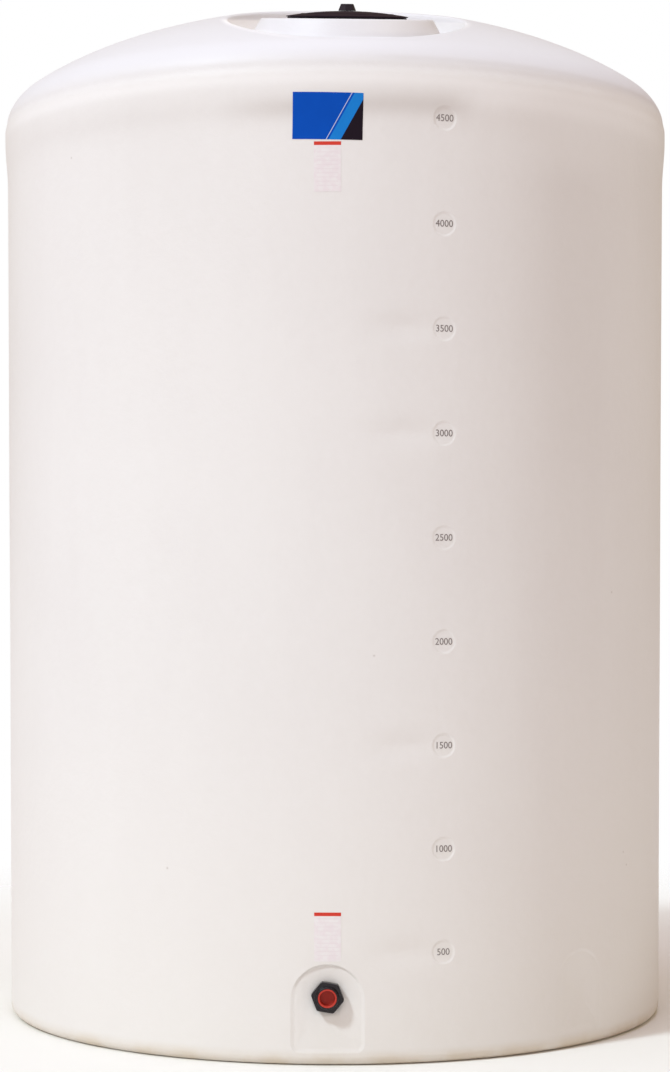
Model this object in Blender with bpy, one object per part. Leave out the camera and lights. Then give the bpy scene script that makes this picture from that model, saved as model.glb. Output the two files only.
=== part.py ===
"""Vertical storage tank: a one-piece moulded tank with a domed roof, a sunk manway and an outlet.

Metres, +Z up. The origin is the centre of the base, on the floor. The outlet faces -Y.
An azimuth is counted in degrees from -Y towards +X.
"""

from math import asin, atan2, cos, degrees, hypot, pi, radians, sin

import bmesh
import bpy
from mathutils import Vector

# Driving dimensions of the shell
RADIUS = 1.2954
HEAD_RADIUS = 1.304
WALL_T = 0.011
KNUCKLE_R = 0.033
SWELL_START_Z = 3.224
SWELL_END_Z = 3.410
SPRING_Z = 3.447
SHOULDER_R = 0.180
CROWN_A = 1.503
CROWN_B = 0.733
CROWN_CAP_R = 0.350

# How the round shell is divided, the gaps of touching and screwed pieces, and how far a cutter
# runs past
WALL_SEGMENTS = 16
ROOF_SEGMENTS = 8
STEP = 360.0 / 64
GAP = 0.0003
THREAD_GAP = 0.0005
PAST = 0.05

# Moulded volume marks, one for every 500 US gallons
MARK_COUNT = 9
MARK_FIRST_Z = 0.393
MARK_PITCH = 0.36474
MARK_AZIMUTH = 18.33
MARK_R = 0.042
MARK_DEPTH = 0.0025

# Flats for fittings, low on the wall
FLAT_HALF_WIDTH = 0.129
FLAT_BOTTOM_Z = 0.048
FLAT_TOP_Z = 0.357
FLAT_CORNER_R = 0.030
FLAT_DEPTH = 0.0125
FLAT_DRAFT = 0.003
FLAT_PAD_DEPTH = 0.0095
FLAT_AZIMUTHS = {0: 0.0, 2: 45.0}

# Outlet fitting, seated on the flat that faces -Y
OUTLET_Z = 0.2435
OUTLET_HEX_FLATS = 0.100
OUTLET_HEX_TURN = -9.5
OUTLET_GASKET_T = 0.003
OUTLET_HEX_T = 0.029
OUTLET_RIM_R = 0.039
OUTLET_RIM_Z = 0.047
OUTLET_SHANK_R = 0.038
OUTLET_SHANK_END = -0.058
OUTLET_BORE_R = 0.0302
OUTLET_SEAT_R = 0.0335
OUTLET_SEAT_DEPTH = 0.006
OUTLET_NUT_T = 0.028
GASKET_R = 0.0485
PLUG_CUP_R = 0.0255
PLUG_CUP_DEPTH = 0.022
PLUG_LENGTH = 0.034

# Manway: a well sunk in the roof, with a raised collar and a lid
MANWAY_AZIMUTH = 4.15
MANWAY_OFFSET = 0.838
MANWAY_Z = 3.7465
MANWAY_TILT = 13.0
WELL_R = 0.434
COLLAR_TOP_R = 0.3125
COLLAR_FOOT_R = 0.349
COLLAR_HEIGHT = 0.062
COLLAR_EDGE_R = 0.012
COLLAR_MOUTH_R = 0.206
WELL_LEDGE = 0.005
DEEP = 0.5
RING_FLANGE_R = 0.2175
RING_BORE_R = 0.195
RING_FLANGE_T = 0.0032
RING_DEPTH = 0.040
LID_GASKET_T = 0.002
LID_GASKET_INNER_R = 0.199
LID_GASKET_OUTER_R = 0.2165
LID_R = 0.2225
LID_EDGE_T = 0.003
LID_T = 0.007
LID_TOP_Z = 0.028
LID_SKIRT_R = 0.190
LID_SKIRT_T = 0.008
LID_SKIRT_DEPTH = 0.032
VENT_FOOT_R = 0.033
VENT_TOP_R = 0.025
VENT_TOP_Z = 0.053

# Label and cards on the wall above the outlet
LABEL_T = 0.0008
LABELS = {
    "front_label": (0.248, 3.227, 3.388),
    "upper_card": (0.097, 3.048, 3.2205),
    "lower_card": (0.097, 0.369, 0.541),
}

# Colours of the finishes: base colour, roughness, metallic
POLYETHYLENE = ("natural_polyethylene", (0.80, 0.77, 0.74), 0.45, 0.0)
LID_PLASTIC = ("dark_lid_plastic", (0.020, 0.012, 0.014), 0.40, 0.0)
FITTING_PLASTIC = ("black_fitting_plastic", (0.015, 0.015, 0.017), 0.40, 0.0)
PLUG_PLASTIC = ("red_plug_plastic", (0.50, 0.05, 0.03), 0.45, 0.0)
RUBBER = ("gasket_rubber", (0.03, 0.03, 0.03), 0.80, 0.0)
LABEL_FILM = ("blue_label_film", (0.02, 0.16, 0.55), 0.35, 0.0)
CARD_FILM = ("pale_card_film", (0.80, 0.66, 0.64), 0.50, 0.0)


def clear_scene():
    """Remove every object that the file opened with."""
    for item in list(bpy.data.objects):
        bpy.data.objects.remove(item, do_unlink=True)


def finish_material(finish):
    """Return the material of a finish, made once."""
    name, colour, roughness, metallic = finish
    found = bpy.data.materials.get(name)
    if found:
        return found
    material = bpy.data.materials.new(name)
    material.use_nodes = True
    shader = material.node_tree.nodes["Principled BSDF"]
    shader.inputs["Base Color"].default_value = (*colour, 1.0)
    shader.inputs["Roughness"].default_value = roughness
    shader.inputs["Metallic"].default_value = metallic
    return material


def add_object(name, mesh, parent=None):
    """Put a mesh in the scene under a name, with its place taken from its parent."""
    item = bpy.data.objects.new(name, mesh)
    bpy.context.scene.collection.objects.link(item)
    item.parent = parent
    return item


def add_axis(name, location, rotation):
    """Add an empty whose frame the pieces of a sub-assembly are placed in."""
    axis = bpy.data.objects.new(name, None)
    bpy.context.scene.collection.objects.link(axis)
    axis.location = location
    axis.rotation_euler = rotation
    return axis


def loft_mesh(name, loops, finish=None, ring=False):
    """Skin a row of closed loops of points. A ring of loops joins its last to its first."""
    shape = bmesh.new()
    rows = [[shape.verts.new(point) for point in loop] for loop in loops]
    count = len(rows[0])
    pairs = list(zip(rows, rows[1:]))
    if ring:
        pairs.append((rows[-1], rows[0]))
    else:
        shape.faces.new(rows[0])
        shape.faces.new(rows[-1])
    for near, far in pairs:
        for i in range(count):
            j = (i + 1) % count
            shape.faces.new((near[i], near[j], far[j], far[i]))
    bmesh.ops.remove_doubles(shape, verts=shape.verts, dist=0.00001)
    bmesh.ops.recalc_face_normals(shape, faces=shape.faces)
    mesh = bpy.data.meshes.new(name)
    shape.to_mesh(mesh)
    shape.free()
    if finish:
        mesh.materials.append(finish_material(finish))
    mesh.shade_smooth()
    mesh.set_sharp_from_angle(angle=radians(30))
    return mesh


def polar(radius, azimuth, height):
    """Return the point at a radius, an azimuth in degrees and a height."""
    angle = radians(azimuth)
    return Vector((radius * sin(angle), -radius * cos(angle), height))


def turned_mesh(name, profile, finish=None, steps=64):
    """Turn a closed profile of (radius, height) points all the way round Z."""
    loops = [[polar(r, 360.0 * k / steps, z) for r, z in profile] for k in range(steps)]
    return loft_mesh(name, loops, finish, ring=True)


def sector_mesh(name, profile, width, finish=None):
    """Turn a closed profile through a sector centred on -Y, with its side faces half a gap in."""
    steps = round(width / STEP)
    loops = []
    for k in range(steps + 1):
        azimuth = -width / 2 + k * STEP
        inward = (k == 0) - (k == steps)
        loops.append([
            polar(r, azimuth + inward * degrees(asin(GAP / 2 / r)), z)
            for r, z in profile
        ])
    return loft_mesh(name, loops, finish)


def prism_mesh(name, sides, radius, low, high, finish=None, turn=0.0):
    """Make an upright prism or cylinder of a circumradius, between two heights."""
    angles = [radians(turn) + 2 * pi * k / sides for k in range(sides)]
    loops = [[Vector((radius * cos(a), radius * sin(a), z)) for a in angles] for z in (low, high)]
    return loft_mesh(name, loops, finish)


def arc(centre_r, centre_z, radius, start, end, count):
    """Return points on an arc. Angles are in degrees from the outward radius, upwards."""
    angles = [radians(start + (end - start) * k / count) for k in range(count + 1)]
    return [(centre_r + radius * cos(a), centre_z + radius * sin(a)) for a in angles]


def cut(item, cutter, operation="DIFFERENCE"):
    """Shape an item with another solid by a Boolean."""
    modifier = item.modifiers.new(operation.title() + " " + cutter.name, "BOOLEAN")
    modifier.operation = operation
    modifier.object = cutter
    modifier.solver = "EXACT"


def guide(name, mesh, parent=None):
    """Add a solid that only shapes others."""
    item = add_object(name, mesh, parent)
    item.hide_render = True
    item.display_type = "WIRE"
    return item


def wall_radius(height):
    """Return the outer radius of the side wall at a height, with its swell below the shoulder."""
    share = (height - SWELL_START_Z) / (SWELL_END_Z - SWELL_START_Z)
    return RADIUS + (HEAD_RADIUS - RADIUS) * min(max(share, 0.0), 1.0)


def crown_normal(t):
    """Return the crown's outward normal at its ellipse angle, counted from the apex."""
    r, z = sin(t) / CROWN_A, cos(t) / CROWN_B
    return r / hypot(r, z), z / hypot(r, z)


def crown_edge():
    """Find the ellipse angle where the crown runs smoothly into the shoulder."""
    low, high = 0.1, 1.5
    for _ in range(60):
        middle = (low + high) / 2
        reach = CROWN_A * sin(middle) + SHOULDER_R * (1 - crown_normal(middle)[0])
        low, high = (middle, high) if reach < HEAD_RADIUS else (low, middle)
    return low


CROWN_EDGE = crown_edge()
CROWN_Z = SPRING_Z + SHOULDER_R * crown_normal(CROWN_EDGE)[1] - CROWN_B * cos(CROWN_EDGE)


def crown_point(t, inset):
    """Return a point of the crown at an ellipse angle, moved inwards by an inset."""
    r, z = crown_normal(t)
    return CROWN_A * sin(t) - inset * r, CROWN_Z + CROWN_B * cos(t) - inset * z


def crown_curve(start, end, inset, count):
    """Return points along the crown between two ellipse angles."""
    return [crown_point(start + (end - start) * k / count, inset) for k in range(count + 1)]


def shoulder_curve(inset, count):
    """Return points of the shoulder, from the top of the wall to the crown."""
    r, z = crown_normal(CROWN_EDGE)
    end = degrees(atan2(z, r))
    return arc(HEAD_RADIUS - SHOULDER_R, SPRING_Z, SHOULDER_R - inset, 0.0, end, count)


def wall_profile():
    """Return the closed section of the side wall, with the rounded lower edge."""
    foot = RADIUS - KNUCKLE_R
    outer = arc(foot, KNUCKLE_R, KNUCKLE_R, -90.0, 0.0, 4)
    outer += [(wall_radius(z), z) for z in (SWELL_START_Z, SWELL_END_Z, SPRING_Z)]
    inner = [(wall_radius(z) - WALL_T, z) for z in (SPRING_Z, SWELL_END_Z, SWELL_START_Z)]
    inner += arc(foot, KNUCKLE_R, KNUCKLE_R - WALL_T, 0.0, -90.0, 3)
    return outer + inner


def roof_profile():
    """Return the closed section of a roof segment, from the wall to the crown's cap."""
    cap = asin(CROWN_CAP_R / CROWN_A)
    outer = [(HEAD_RADIUS, SPRING_Z + GAP)] + shoulder_curve(0.0, 5)[1:]
    outer += crown_curve(CROWN_EDGE, cap, 0.0, 5)[1:]
    inner = crown_curve(cap, CROWN_EDGE, WALL_T, 5)
    inner += list(reversed(shoulder_curve(WALL_T, 5)[1:-1]))
    inner.append((HEAD_RADIUS - WALL_T, SPRING_Z + GAP))
    return outer + inner


def crown_cap_profile():
    """Return the closed section of the cap at the top of the roof."""
    edge = asin(CROWN_CAP_R / CROWN_A) - GAP / CROWN_A
    return crown_curve(0.0, edge, 0.0, 3) + crown_curve(edge, 0.0, WALL_T, 3)


def roof_body(inset):
    """Return the section of the full solid under the roof's outer or inner surface."""
    low = SPRING_Z - DEEP
    outer = [(0.0, low), (HEAD_RADIUS - inset, low)] + shoulder_curve(inset, 5)
    return outer + crown_curve(CROWN_EDGE, asin(CROWN_CAP_R / CROWN_A), inset, 5)[1:] + (
        crown_curve(asin(CROWN_CAP_R / CROWN_A), 0.0, inset, 3)[1:])


def arch_outline(grow, y):
    """Return the round-topped outline of a fitting flat, grown on all sides, at a depth."""
    half = FLAT_HALF_WIDTH + grow
    low = FLAT_BOTTOM_Z - grow
    corner = FLAT_CORNER_R + grow
    points = arc(0.0, FLAT_TOP_Z - FLAT_HALF_WIDTH, half, 0.0, 180.0, 16)
    points += arc(-half + corner, low + corner, corner, 180.0, 270.0, 4)
    points += arc(half - corner, low + corner, corner, 270.0, 360.0, 4)
    return [Vector((x, y, z)) for x, z in points]


def build_floor():
    """Build the flat floor, inside the ring of wall segments."""
    rim = RADIUS - KNUCKLE_R - GAP
    profile = [(0.0, 0.0), (rim, 0.0), (rim, WALL_T), (0.0, WALL_T)]
    add_object("tank_floor", turned_mesh("tank_floor", profile, POLYETHYLENE))


def cut_flat(segment, number, azimuth):
    """Give a wall segment a sunk flat, with the wall moved in behind it."""
    plane = RADIUS - FLAT_DEPTH
    pad_depths = (plane - WALL_T, RADIUS - FLAT_PAD_DEPTH)
    pad_loops = [arch_outline(WALL_T, -depth) for depth in pad_depths]
    sunk_loops = [arch_outline(0.0, -plane), arch_outline(FLAT_DRAFT, -RADIUS - FLAT_DEPTH)]
    pad = guide(f"flat_pad_{number}", loft_mesh("flat_pad", pad_loops, POLYETHYLENE))
    sunk = guide(f"flat_recess_{number}", loft_mesh("flat_recess", sunk_loops, POLYETHYLENE))
    for item, operation in ((pad, "UNION"), (sunk, "DIFFERENCE")):
        item.rotation_euler = (0.0, 0.0, radians(azimuth))
        cut(segment, item, operation)


def cut_marks(segment):
    """Sink the round pockets of the volume marks into their wall segment."""
    for n in range(MARK_COUNT):
        height = MARK_FIRST_Z + n * MARK_PITCH
        floor = wall_radius(height) * cos(radians(STEP / 2)) - MARK_DEPTH
        pocket = guide(f"mark_pocket_{n}", prism_mesh("mark_pocket", 20, MARK_R, 0.0, PAST))
        pocket.location = polar(floor, MARK_AZIMUTH, height)
        pocket.rotation_euler = (radians(90), 0.0, radians(MARK_AZIMUTH))
        cut(segment, pocket)


def build_wall():
    """Build the ring of wall segments, two with a flat and one with the volume marks."""
    width = 360.0 / WALL_SEGMENTS
    mesh = sector_mesh("wall_segment", wall_profile(), width, POLYETHYLENE)
    segments = []
    for n in range(WALL_SEGMENTS):
        segment = add_object(f"wall_segment_{n:02d}", mesh)
        segment.rotation_euler = (0.0, 0.0, radians(n * width))
        segments.append(segment)
    for n, azimuth in FLAT_AZIMUTHS.items():
        cut_flat(segments[n], n, azimuth)
    cut_marks(segments[1])
    return segments


def build_roof(manway):
    """Build the roof segments and the cap. The manway's well opens the two front segments."""
    width = 360.0 / ROOF_SEGMENTS
    mesh = sector_mesh("roof_segment", roof_profile(), width, POLYETHYLENE)
    opening = guide("well_opening", prism_mesh("well_opening", 64, WELL_R + GAP, -DEEP, DEEP), manway)
    for n in range(ROOF_SEGMENTS):
        segment = add_object(f"roof_segment_{n}", mesh)
        segment.rotation_euler = (0.0, 0.0, radians((n + 0.5) * width))
        if n in (0, ROOF_SEGMENTS - 1):
            cut(segment, opening)
    cap = turned_mesh("roof_crown", crown_cap_profile(), POLYETHYLENE)
    add_object("roof_crown", cap)


def build_well(manway):
    """Build the sunk well: a cup within the roof, which runs out to the roof at its front."""
    floor = -COLLAR_HEIGHT
    inner_r = WELL_R - WALL_T
    outer_roof = guide("roof_outside", turned_mesh("roof_outside", roof_body(0.0)))
    inner_roof = guide("roof_inside", turned_mesh("roof_inside", roof_body(WALL_T)))
    hollow = guide("well_hollow", prism_mesh("well_hollow", 64, inner_r, floor, DEEP), manway)
    below = guide("well_underside", prism_mesh("below", 32, DEEP, -DEEP, floor - WALL_T), manway)
    mouth_r = COLLAR_FOOT_R - WALL_T - WELL_LEDGE
    mouth = guide("well_mouth", prism_mesh("mouth", 48, mouth_r, -DEEP, DEEP), manway)
    well = prism_mesh("manway_well", 64, WELL_R, -DEEP, DEEP, POLYETHYLENE)
    well = add_object("manway_well", well, manway)
    cut(below, inner_roof, "INTERSECT")
    cut(well, outer_roof, "INTERSECT")
    cut(well, hollow)
    cut(well, below)
    cut(well, mouth)


def build_collar(manway):
    """Build the raised collar, a truncated cone with a flat top and a round mouth."""
    foot = -COLLAR_HEIGHT + GAP
    slope = degrees(atan2(COLLAR_HEIGHT, COLLAR_FOOT_R - COLLAR_TOP_R))
    edge_r = COLLAR_TOP_R - COLLAR_EDGE_R
    profile = [(COLLAR_FOOT_R, foot)]
    profile += arc(edge_r, -COLLAR_EDGE_R, COLLAR_EDGE_R, 90.0 - slope, 90.0, 3)
    profile += [(COLLAR_MOUTH_R, 0.0), (COLLAR_MOUTH_R, -WALL_T), (edge_r, -WALL_T)]
    profile += [(COLLAR_FOOT_R - WALL_T, foot)]
    add_object("manway_collar", turned_mesh("manway_collar", profile, POLYETHYLENE, 48), manway)


def build_lid_ring(manway):
    """Build the screw ring that lines the collar's mouth, and the gasket on its flange."""
    top = GAP + RING_FLANGE_T
    sleeve_r = COLLAR_MOUTH_R - THREAD_GAP
    profile = [(RING_BORE_R, top), (RING_FLANGE_R, top), (RING_FLANGE_R, GAP), (sleeve_r, GAP)]
    profile += [(sleeve_r, -RING_DEPTH), (RING_BORE_R, -RING_DEPTH)]
    add_object("lid_ring", turned_mesh("lid_ring", profile, LID_PLASTIC, 48), manway)
    low = top + GAP
    high = low + LID_GASKET_T
    inner_r, outer_r = LID_GASKET_INNER_R, LID_GASKET_OUTER_R
    profile = [(inner_r, low), (outer_r, low), (outer_r, high), (inner_r, high)]
    add_object("lid_gasket", turned_mesh("lid_gasket", profile, RUBBER, 48), manway)
    return high + GAP


def build_lid(manway, seat):
    """Build the low domed lid with its screw skirt, and the vent on top of it."""
    edge = seat + LID_EDGE_T
    dome = [(LID_R * k / 5, edge + (LID_TOP_Z - edge) * (1 - (k / 5) ** 2)) for k in range(6)]
    profile = dome + [(LID_R, seat), (LID_SKIRT_R, seat), (LID_SKIRT_R, -LID_SKIRT_DEPTH)]
    inner_r = LID_SKIRT_R - LID_SKIRT_T
    profile += [(inner_r, -LID_SKIRT_DEPTH), (inner_r, seat)]
    profile += [(r, z - LID_T) for r, z in reversed(dome[:4])]
    add_object("manway_lid", turned_mesh("manway_lid", profile, LID_PLASTIC, 48), manway)
    foot = LID_TOP_Z + GAP
    neck = VENT_TOP_Z - (VENT_FOOT_R - VENT_TOP_R)
    loops = []
    for r, z in ((VENT_FOOT_R, foot), (VENT_FOOT_R, neck), (VENT_TOP_R, VENT_TOP_Z)):
        loops.append([polar(r, 60.0 * k, z) for k in range(6)])
    add_object("vent_cap", loft_mesh("vent_cap", loops, LID_PLASTIC), manway)


def build_manway():
    """Build the manway on its tilted axis. Its frame's floor is the top of the collar."""
    place = polar(MANWAY_OFFSET, MANWAY_AZIMUTH, MANWAY_Z)
    manway = add_axis("manway_axis", place, (radians(MANWAY_TILT), 0.0, radians(MANWAY_AZIMUTH)))
    build_roof(manway)
    build_well(manway)
    build_collar(manway)
    seat = build_lid_ring(manway)
    build_lid(manway, seat)


def build_outlet_body(outlet):
    """Build the hex-headed body of the outlet, with its round rim, shank and bore."""
    low = OUTLET_GASKET_T + 2 * GAP
    middle = low + OUTLET_HEX_T / 2
    seat = OUTLET_RIM_Z - OUTLET_SEAT_DEPTH
    profile = [(OUTLET_BORE_R, OUTLET_SHANK_END), (OUTLET_SHANK_R, OUTLET_SHANK_END)]
    profile += [(OUTLET_SHANK_R, middle), (OUTLET_RIM_R, middle)]
    profile += [(OUTLET_RIM_R, OUTLET_RIM_Z), (OUTLET_SEAT_R, OUTLET_RIM_Z)]
    profile += [(OUTLET_SEAT_R, seat), (OUTLET_BORE_R, seat)]
    core = turned_mesh("outlet_body", profile, FITTING_PLASTIC, 32)
    body = add_object("outlet_body", core, outlet)
    corner_r = OUTLET_HEX_FLATS / 2 / cos(pi / 6)
    head_top = low + OUTLET_HEX_T
    head = prism_mesh("head", 6, corner_r, low, head_top, FITTING_PLASTIC, OUTLET_HEX_TURN)
    head = guide("outlet_head", head, outlet)
    bore_r = (OUTLET_SHANK_R + OUTLET_BORE_R) / 2
    hole = prism_mesh("hole", 32, bore_r, -PAST, PAST, None, 90.0)
    cut(head, guide("outlet_head_hole", hole, outlet))
    cut(body, head, "UNION")


def build_outlet_seals(outlet):
    """Build the gaskets on both sides of the wall, and the nut inside the tank."""
    inner = -WALL_T - GAP
    for name, high in (("outlet_gasket", GAP + OUTLET_GASKET_T), ("outlet_inner_gasket", inner)):
        low = high - OUTLET_GASKET_T
        inner_r = OUTLET_SHANK_R + THREAD_GAP
        profile = [(inner_r, low), (GASKET_R, low), (GASKET_R, high), (inner_r, high)]
        add_object(name, turned_mesh(name, profile, RUBBER, 32), outlet)
    high = inner - OUTLET_GASKET_T - GAP
    corner_r = OUTLET_HEX_FLATS / 2 / cos(pi / 6)
    nut = prism_mesh("outlet_nut", 6, corner_r, high - OUTLET_NUT_T, high, FITTING_PLASTIC)
    nut = add_object("outlet_nut", nut, outlet)
    hole = prism_mesh("nut_hole", 32, OUTLET_SHANK_R + THREAD_GAP, -2 * PAST, 0.0)
    cut(nut, guide("outlet_nut_hole", hole, outlet))


def build_plug(outlet):
    """Build the cupped plug in the outlet's bore."""
    face = OUTLET_RIM_Z - THREAD_GAP
    flange = OUTLET_RIM_Z - OUTLET_SEAT_DEPTH + GAP
    end = flange - PLUG_LENGTH + OUTLET_SEAT_DEPTH
    flange_r = OUTLET_SEAT_R - GAP
    body_r = OUTLET_BORE_R - GAP
    cup = face - PLUG_CUP_DEPTH
    profile = [(0.0, end), (body_r, end), (body_r, flange), (flange_r, flange), (flange_r, face)]
    profile += [(PLUG_CUP_R, face), (PLUG_CUP_R, cup), (0.0, cup)]
    add_object("outlet_plug", turned_mesh("outlet_plug", profile, PLUG_PLASTIC, 32), outlet)


def build_outlet(segment):
    """Build the outlet fitting on the flat that faces -Y, and its hole in the wall."""
    place = polar(RADIUS - FLAT_DEPTH, FLAT_AZIMUTHS[0], OUTLET_Z)
    outlet = add_axis("outlet_axis", place, (radians(90), 0.0, 0.0))
    hole = prism_mesh("hole", 32, OUTLET_SHANK_R + THREAD_GAP, -PAST, PAST)
    cut(segment, guide("outlet_wall_hole", hole, outlet))
    build_outlet_body(outlet)
    build_outlet_seals(outlet)
    build_plug(outlet)


def build_labels():
    """Build the label and the two cards, thin plates bent round the wall."""
    for name, (width, low, high) in LABELS.items():
        profile = [(wall_radius(z) + GAP, z) for z in (low, high)]
        profile += [(wall_radius(z) + GAP + LABEL_T, z) for z in (high, low)]
        loops = []
        edge = degrees(asin(width / 2 / RADIUS))
        chord = cos(radians(STEP / 2)) / cos(radians(edge - STEP / 2))
        for azimuth, scale in ((-edge, chord), (0.0, 1.0), (edge, chord)):
            loops.append([polar(r * scale, azimuth, z) for r, z in profile])
        finish = LABEL_FILM if name == "front_label" else CARD_FILM
        add_object(name, loft_mesh(name, loops, finish))


def build_tank():
    """Build the whole tank."""
    clear_scene()
    build_floor()
    segments = build_wall()
    build_manway()
    build_outlet(segments[0])
    build_labels()


build_tank()
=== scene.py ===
"""Looks of a vertical storage tank: its white moulding, lid, outlet, volume numbers and labels.

Metres, +Z up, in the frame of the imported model. The origin is the centre of the base, the outlet faces -Y,
and an azimuth is counted from -Y towards +X. Most surfaces are first laid out flat, as azimuth, length along
the tank's section and height above it, and are then bent round the tank.
"""

import logging
from abc import ABC, abstractmethod
from collections.abc import Iterable, Sequence
from dataclasses import asdict, dataclass, field
from enum import Enum
from functools import cached_property
from math import atan2, cos, degrees, exp, hypot, pi, radians, sin, tan

import bmesh
import bpy
import numpy as np
from mathutils import Euler, Matrix, Vector


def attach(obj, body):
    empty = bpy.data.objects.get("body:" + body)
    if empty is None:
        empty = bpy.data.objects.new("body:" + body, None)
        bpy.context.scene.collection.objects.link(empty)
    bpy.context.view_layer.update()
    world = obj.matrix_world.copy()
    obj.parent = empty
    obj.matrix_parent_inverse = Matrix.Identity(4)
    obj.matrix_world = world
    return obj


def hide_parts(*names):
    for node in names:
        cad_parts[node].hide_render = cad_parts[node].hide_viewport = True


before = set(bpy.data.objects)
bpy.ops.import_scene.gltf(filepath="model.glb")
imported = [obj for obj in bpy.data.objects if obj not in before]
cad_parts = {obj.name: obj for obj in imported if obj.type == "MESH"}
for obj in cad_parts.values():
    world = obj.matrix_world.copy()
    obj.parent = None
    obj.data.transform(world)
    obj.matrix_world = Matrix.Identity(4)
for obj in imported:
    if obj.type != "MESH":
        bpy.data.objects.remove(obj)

LOG = logging.getLogger("tank")
WINDOW_PARTS = 4

Colour = tuple[float, float, float]
Point = tuple[float, float, float]


class Body(Enum):
    """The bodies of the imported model."""

    TANK = "tank"
    LID = "lid"


class Slot(Enum):
    """The material slots of the record."""

    SHELL = "polyethylene"
    LID = "lid_plastic"
    FITTING = "fitting_plastic"
    PLUG = "plug_plastic"
    RUBBER = "gasket_rubber"
    LABEL = "label_film"
    CARD = "card_film"


@dataclass(frozen=True)
class Signal:
    """An output of a node, with arithmetic on its value."""

    graph: "Graph"
    socket: bpy.types.NodeSocket

    def math(self, operation: str, *values: object) -> "Signal":
        """Return the result of a Math node on some values, or on this signal where none is given."""
        inputs = dict(enumerate(values or (self,)))
        return self.graph.signal("ShaderNodeMath", {"operation": operation}, inputs)

    def __add__(self, other: object) -> "Signal":
        """Return the sum."""
        return self.math("ADD", self, other)

    __radd__ = __add__

    def __sub__(self, other: object) -> "Signal":
        """Return the difference."""
        return self.math("SUBTRACT", self, other)

    def __rsub__(self, other: object) -> "Signal":
        """Return the difference from another value."""
        return self.math("SUBTRACT", other, self)

    def __mul__(self, other: object) -> "Signal":
        """Return the product."""
        return self.math("MULTIPLY", self, other)

    __rmul__ = __mul__

    def __truediv__(self, other: object) -> "Signal":
        """Return the quotient."""
        return self.math("DIVIDE", self, other)

    def __rtruediv__(self, other: object) -> "Signal":
        """Return another value divided by this one."""
        return self.math("DIVIDE", other, self)

    def step(self, low: float, high: float) -> "Signal":
        """Return 0 below low and 1 above high, with a smooth rise between them."""
        settings = {"interpolation_type": "SMOOTHSTEP"}
        inputs = {"Value": self, "From Min": low, "From Max": high}
        return self.graph.signal("ShaderNodeMapRange", settings, inputs)

    def fall(self, low: float, high: float) -> "Signal":
        """Return 1 below low and 0 above high, with a smooth fall between them."""
        return 1.0 - self.step(low, high)

    def hill(self, middle: float, width: float) -> "Signal":
        """Return a smooth hill that is 1 at its middle and falls off over a width on both sides."""
        off = (self - middle) / width
        return (off * off * -1.0).math("EXPONENT")

    def within(self, low: float, high: float, edge: float) -> "Signal":
        """Return 1 between low and high and 0 outside, with edges of a width."""
        return self.step(low - edge / 2, low + edge / 2) * self.fall(high - edge / 2, high + edge / 2)

    def parts(self) -> tuple["Signal", "Signal", "Signal"]:
        """Return the three parts of a vector."""
        made = self.graph.node("ShaderNodeSeparateXYZ", {}, {"Vector": self})
        return tuple(Signal(self.graph, output) for output in made.outputs)


class Graph:
    """A node tree that is being built, for a material, for the world or for geometry."""

    def __init__(self, tree: bpy.types.NodeTree) -> None:
        """Start on a tree."""
        self.tree = tree

    def node(self, kind: str, settings: dict, inputs: dict) -> bpy.types.Node:
        """Add a node.

        Args:
            kind: The node's type.
            settings: Its own settings, set first.
            inputs: Values or signals for its sockets, by name or number.

        Returns:
            The node.
        """
        made = self.tree.nodes.new(kind)
        for key, value in settings.items():
            setattr(made, key, value)
        for key, value in inputs.items():
            if isinstance(value, Signal):
                self.tree.links.new(value.socket, made.inputs[key])
            else:
                made.inputs[key].default_value = value
        return made

    def signal(self, kind: str, settings: dict, inputs: dict, output: str | int = 0) -> Signal:
        """Add a node and return one of its outputs."""
        return Signal(self, self.node(kind, settings, inputs).outputs[output])

    def blend(self, share: object, first: object, second: object) -> Signal:
        """Return a colour between two colours."""
        inputs = {0: share, 6: _rgba(first), 7: _rgba(second)}
        return self.signal("ShaderNodeMix", {"data_type": "RGBA"}, inputs, 2)

    def vector(self, operation: str, *values: object) -> Signal:
        """Return the result of a Vector Math node."""
        return self.signal("ShaderNodeVectorMath", {"operation": operation}, dict(enumerate(values)))

    def dot(self, first: object, second: object) -> Signal:
        """Return the dot product of two vectors."""
        inputs = {0: first, 1: second}
        return self.signal("ShaderNodeVectorMath", {"operation": "DOT_PRODUCT"}, inputs, "Value")

    def size(self, vector: object) -> Signal:
        """Return the length of a vector."""
        return self.signal("ShaderNodeVectorMath", {"operation": "LENGTH"}, {0: vector}, "Value")

    def combine(self, x: object, y: object, z: object) -> Signal:
        """Return a vector of three values."""
        return self.signal("ShaderNodeCombineXYZ", {}, {0: x, 1: y, 2: z})

    def noise(self, place: Signal, scale: float, detail: float = 2.0, stretch: Point = (1, 1, 1)) -> Signal:
        """Return soft noise from 0 to 1.

        Args:
            place: The coordinates that it is read at.
            scale: How many swells there are in a metre, about.
            detail: How many finer layers lie on it.
            stretch: The factor on each coordinate.

        Returns:
            The noise.
        """
        if stretch != (1, 1, 1):
            place = self.vector("MULTIPLY", place, stretch)
        inputs = {"Vector": place, "Scale": scale, "Detail": detail, "Roughness": 0.5}
        return self.signal("ShaderNodeTexNoise", {}, inputs)


def _rgba(colour: object) -> object:
    """Return a colour of three numbers with its alpha, and a signal as it is."""
    return colour if isinstance(colour, Signal) else (*colour, 1.0)


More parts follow.
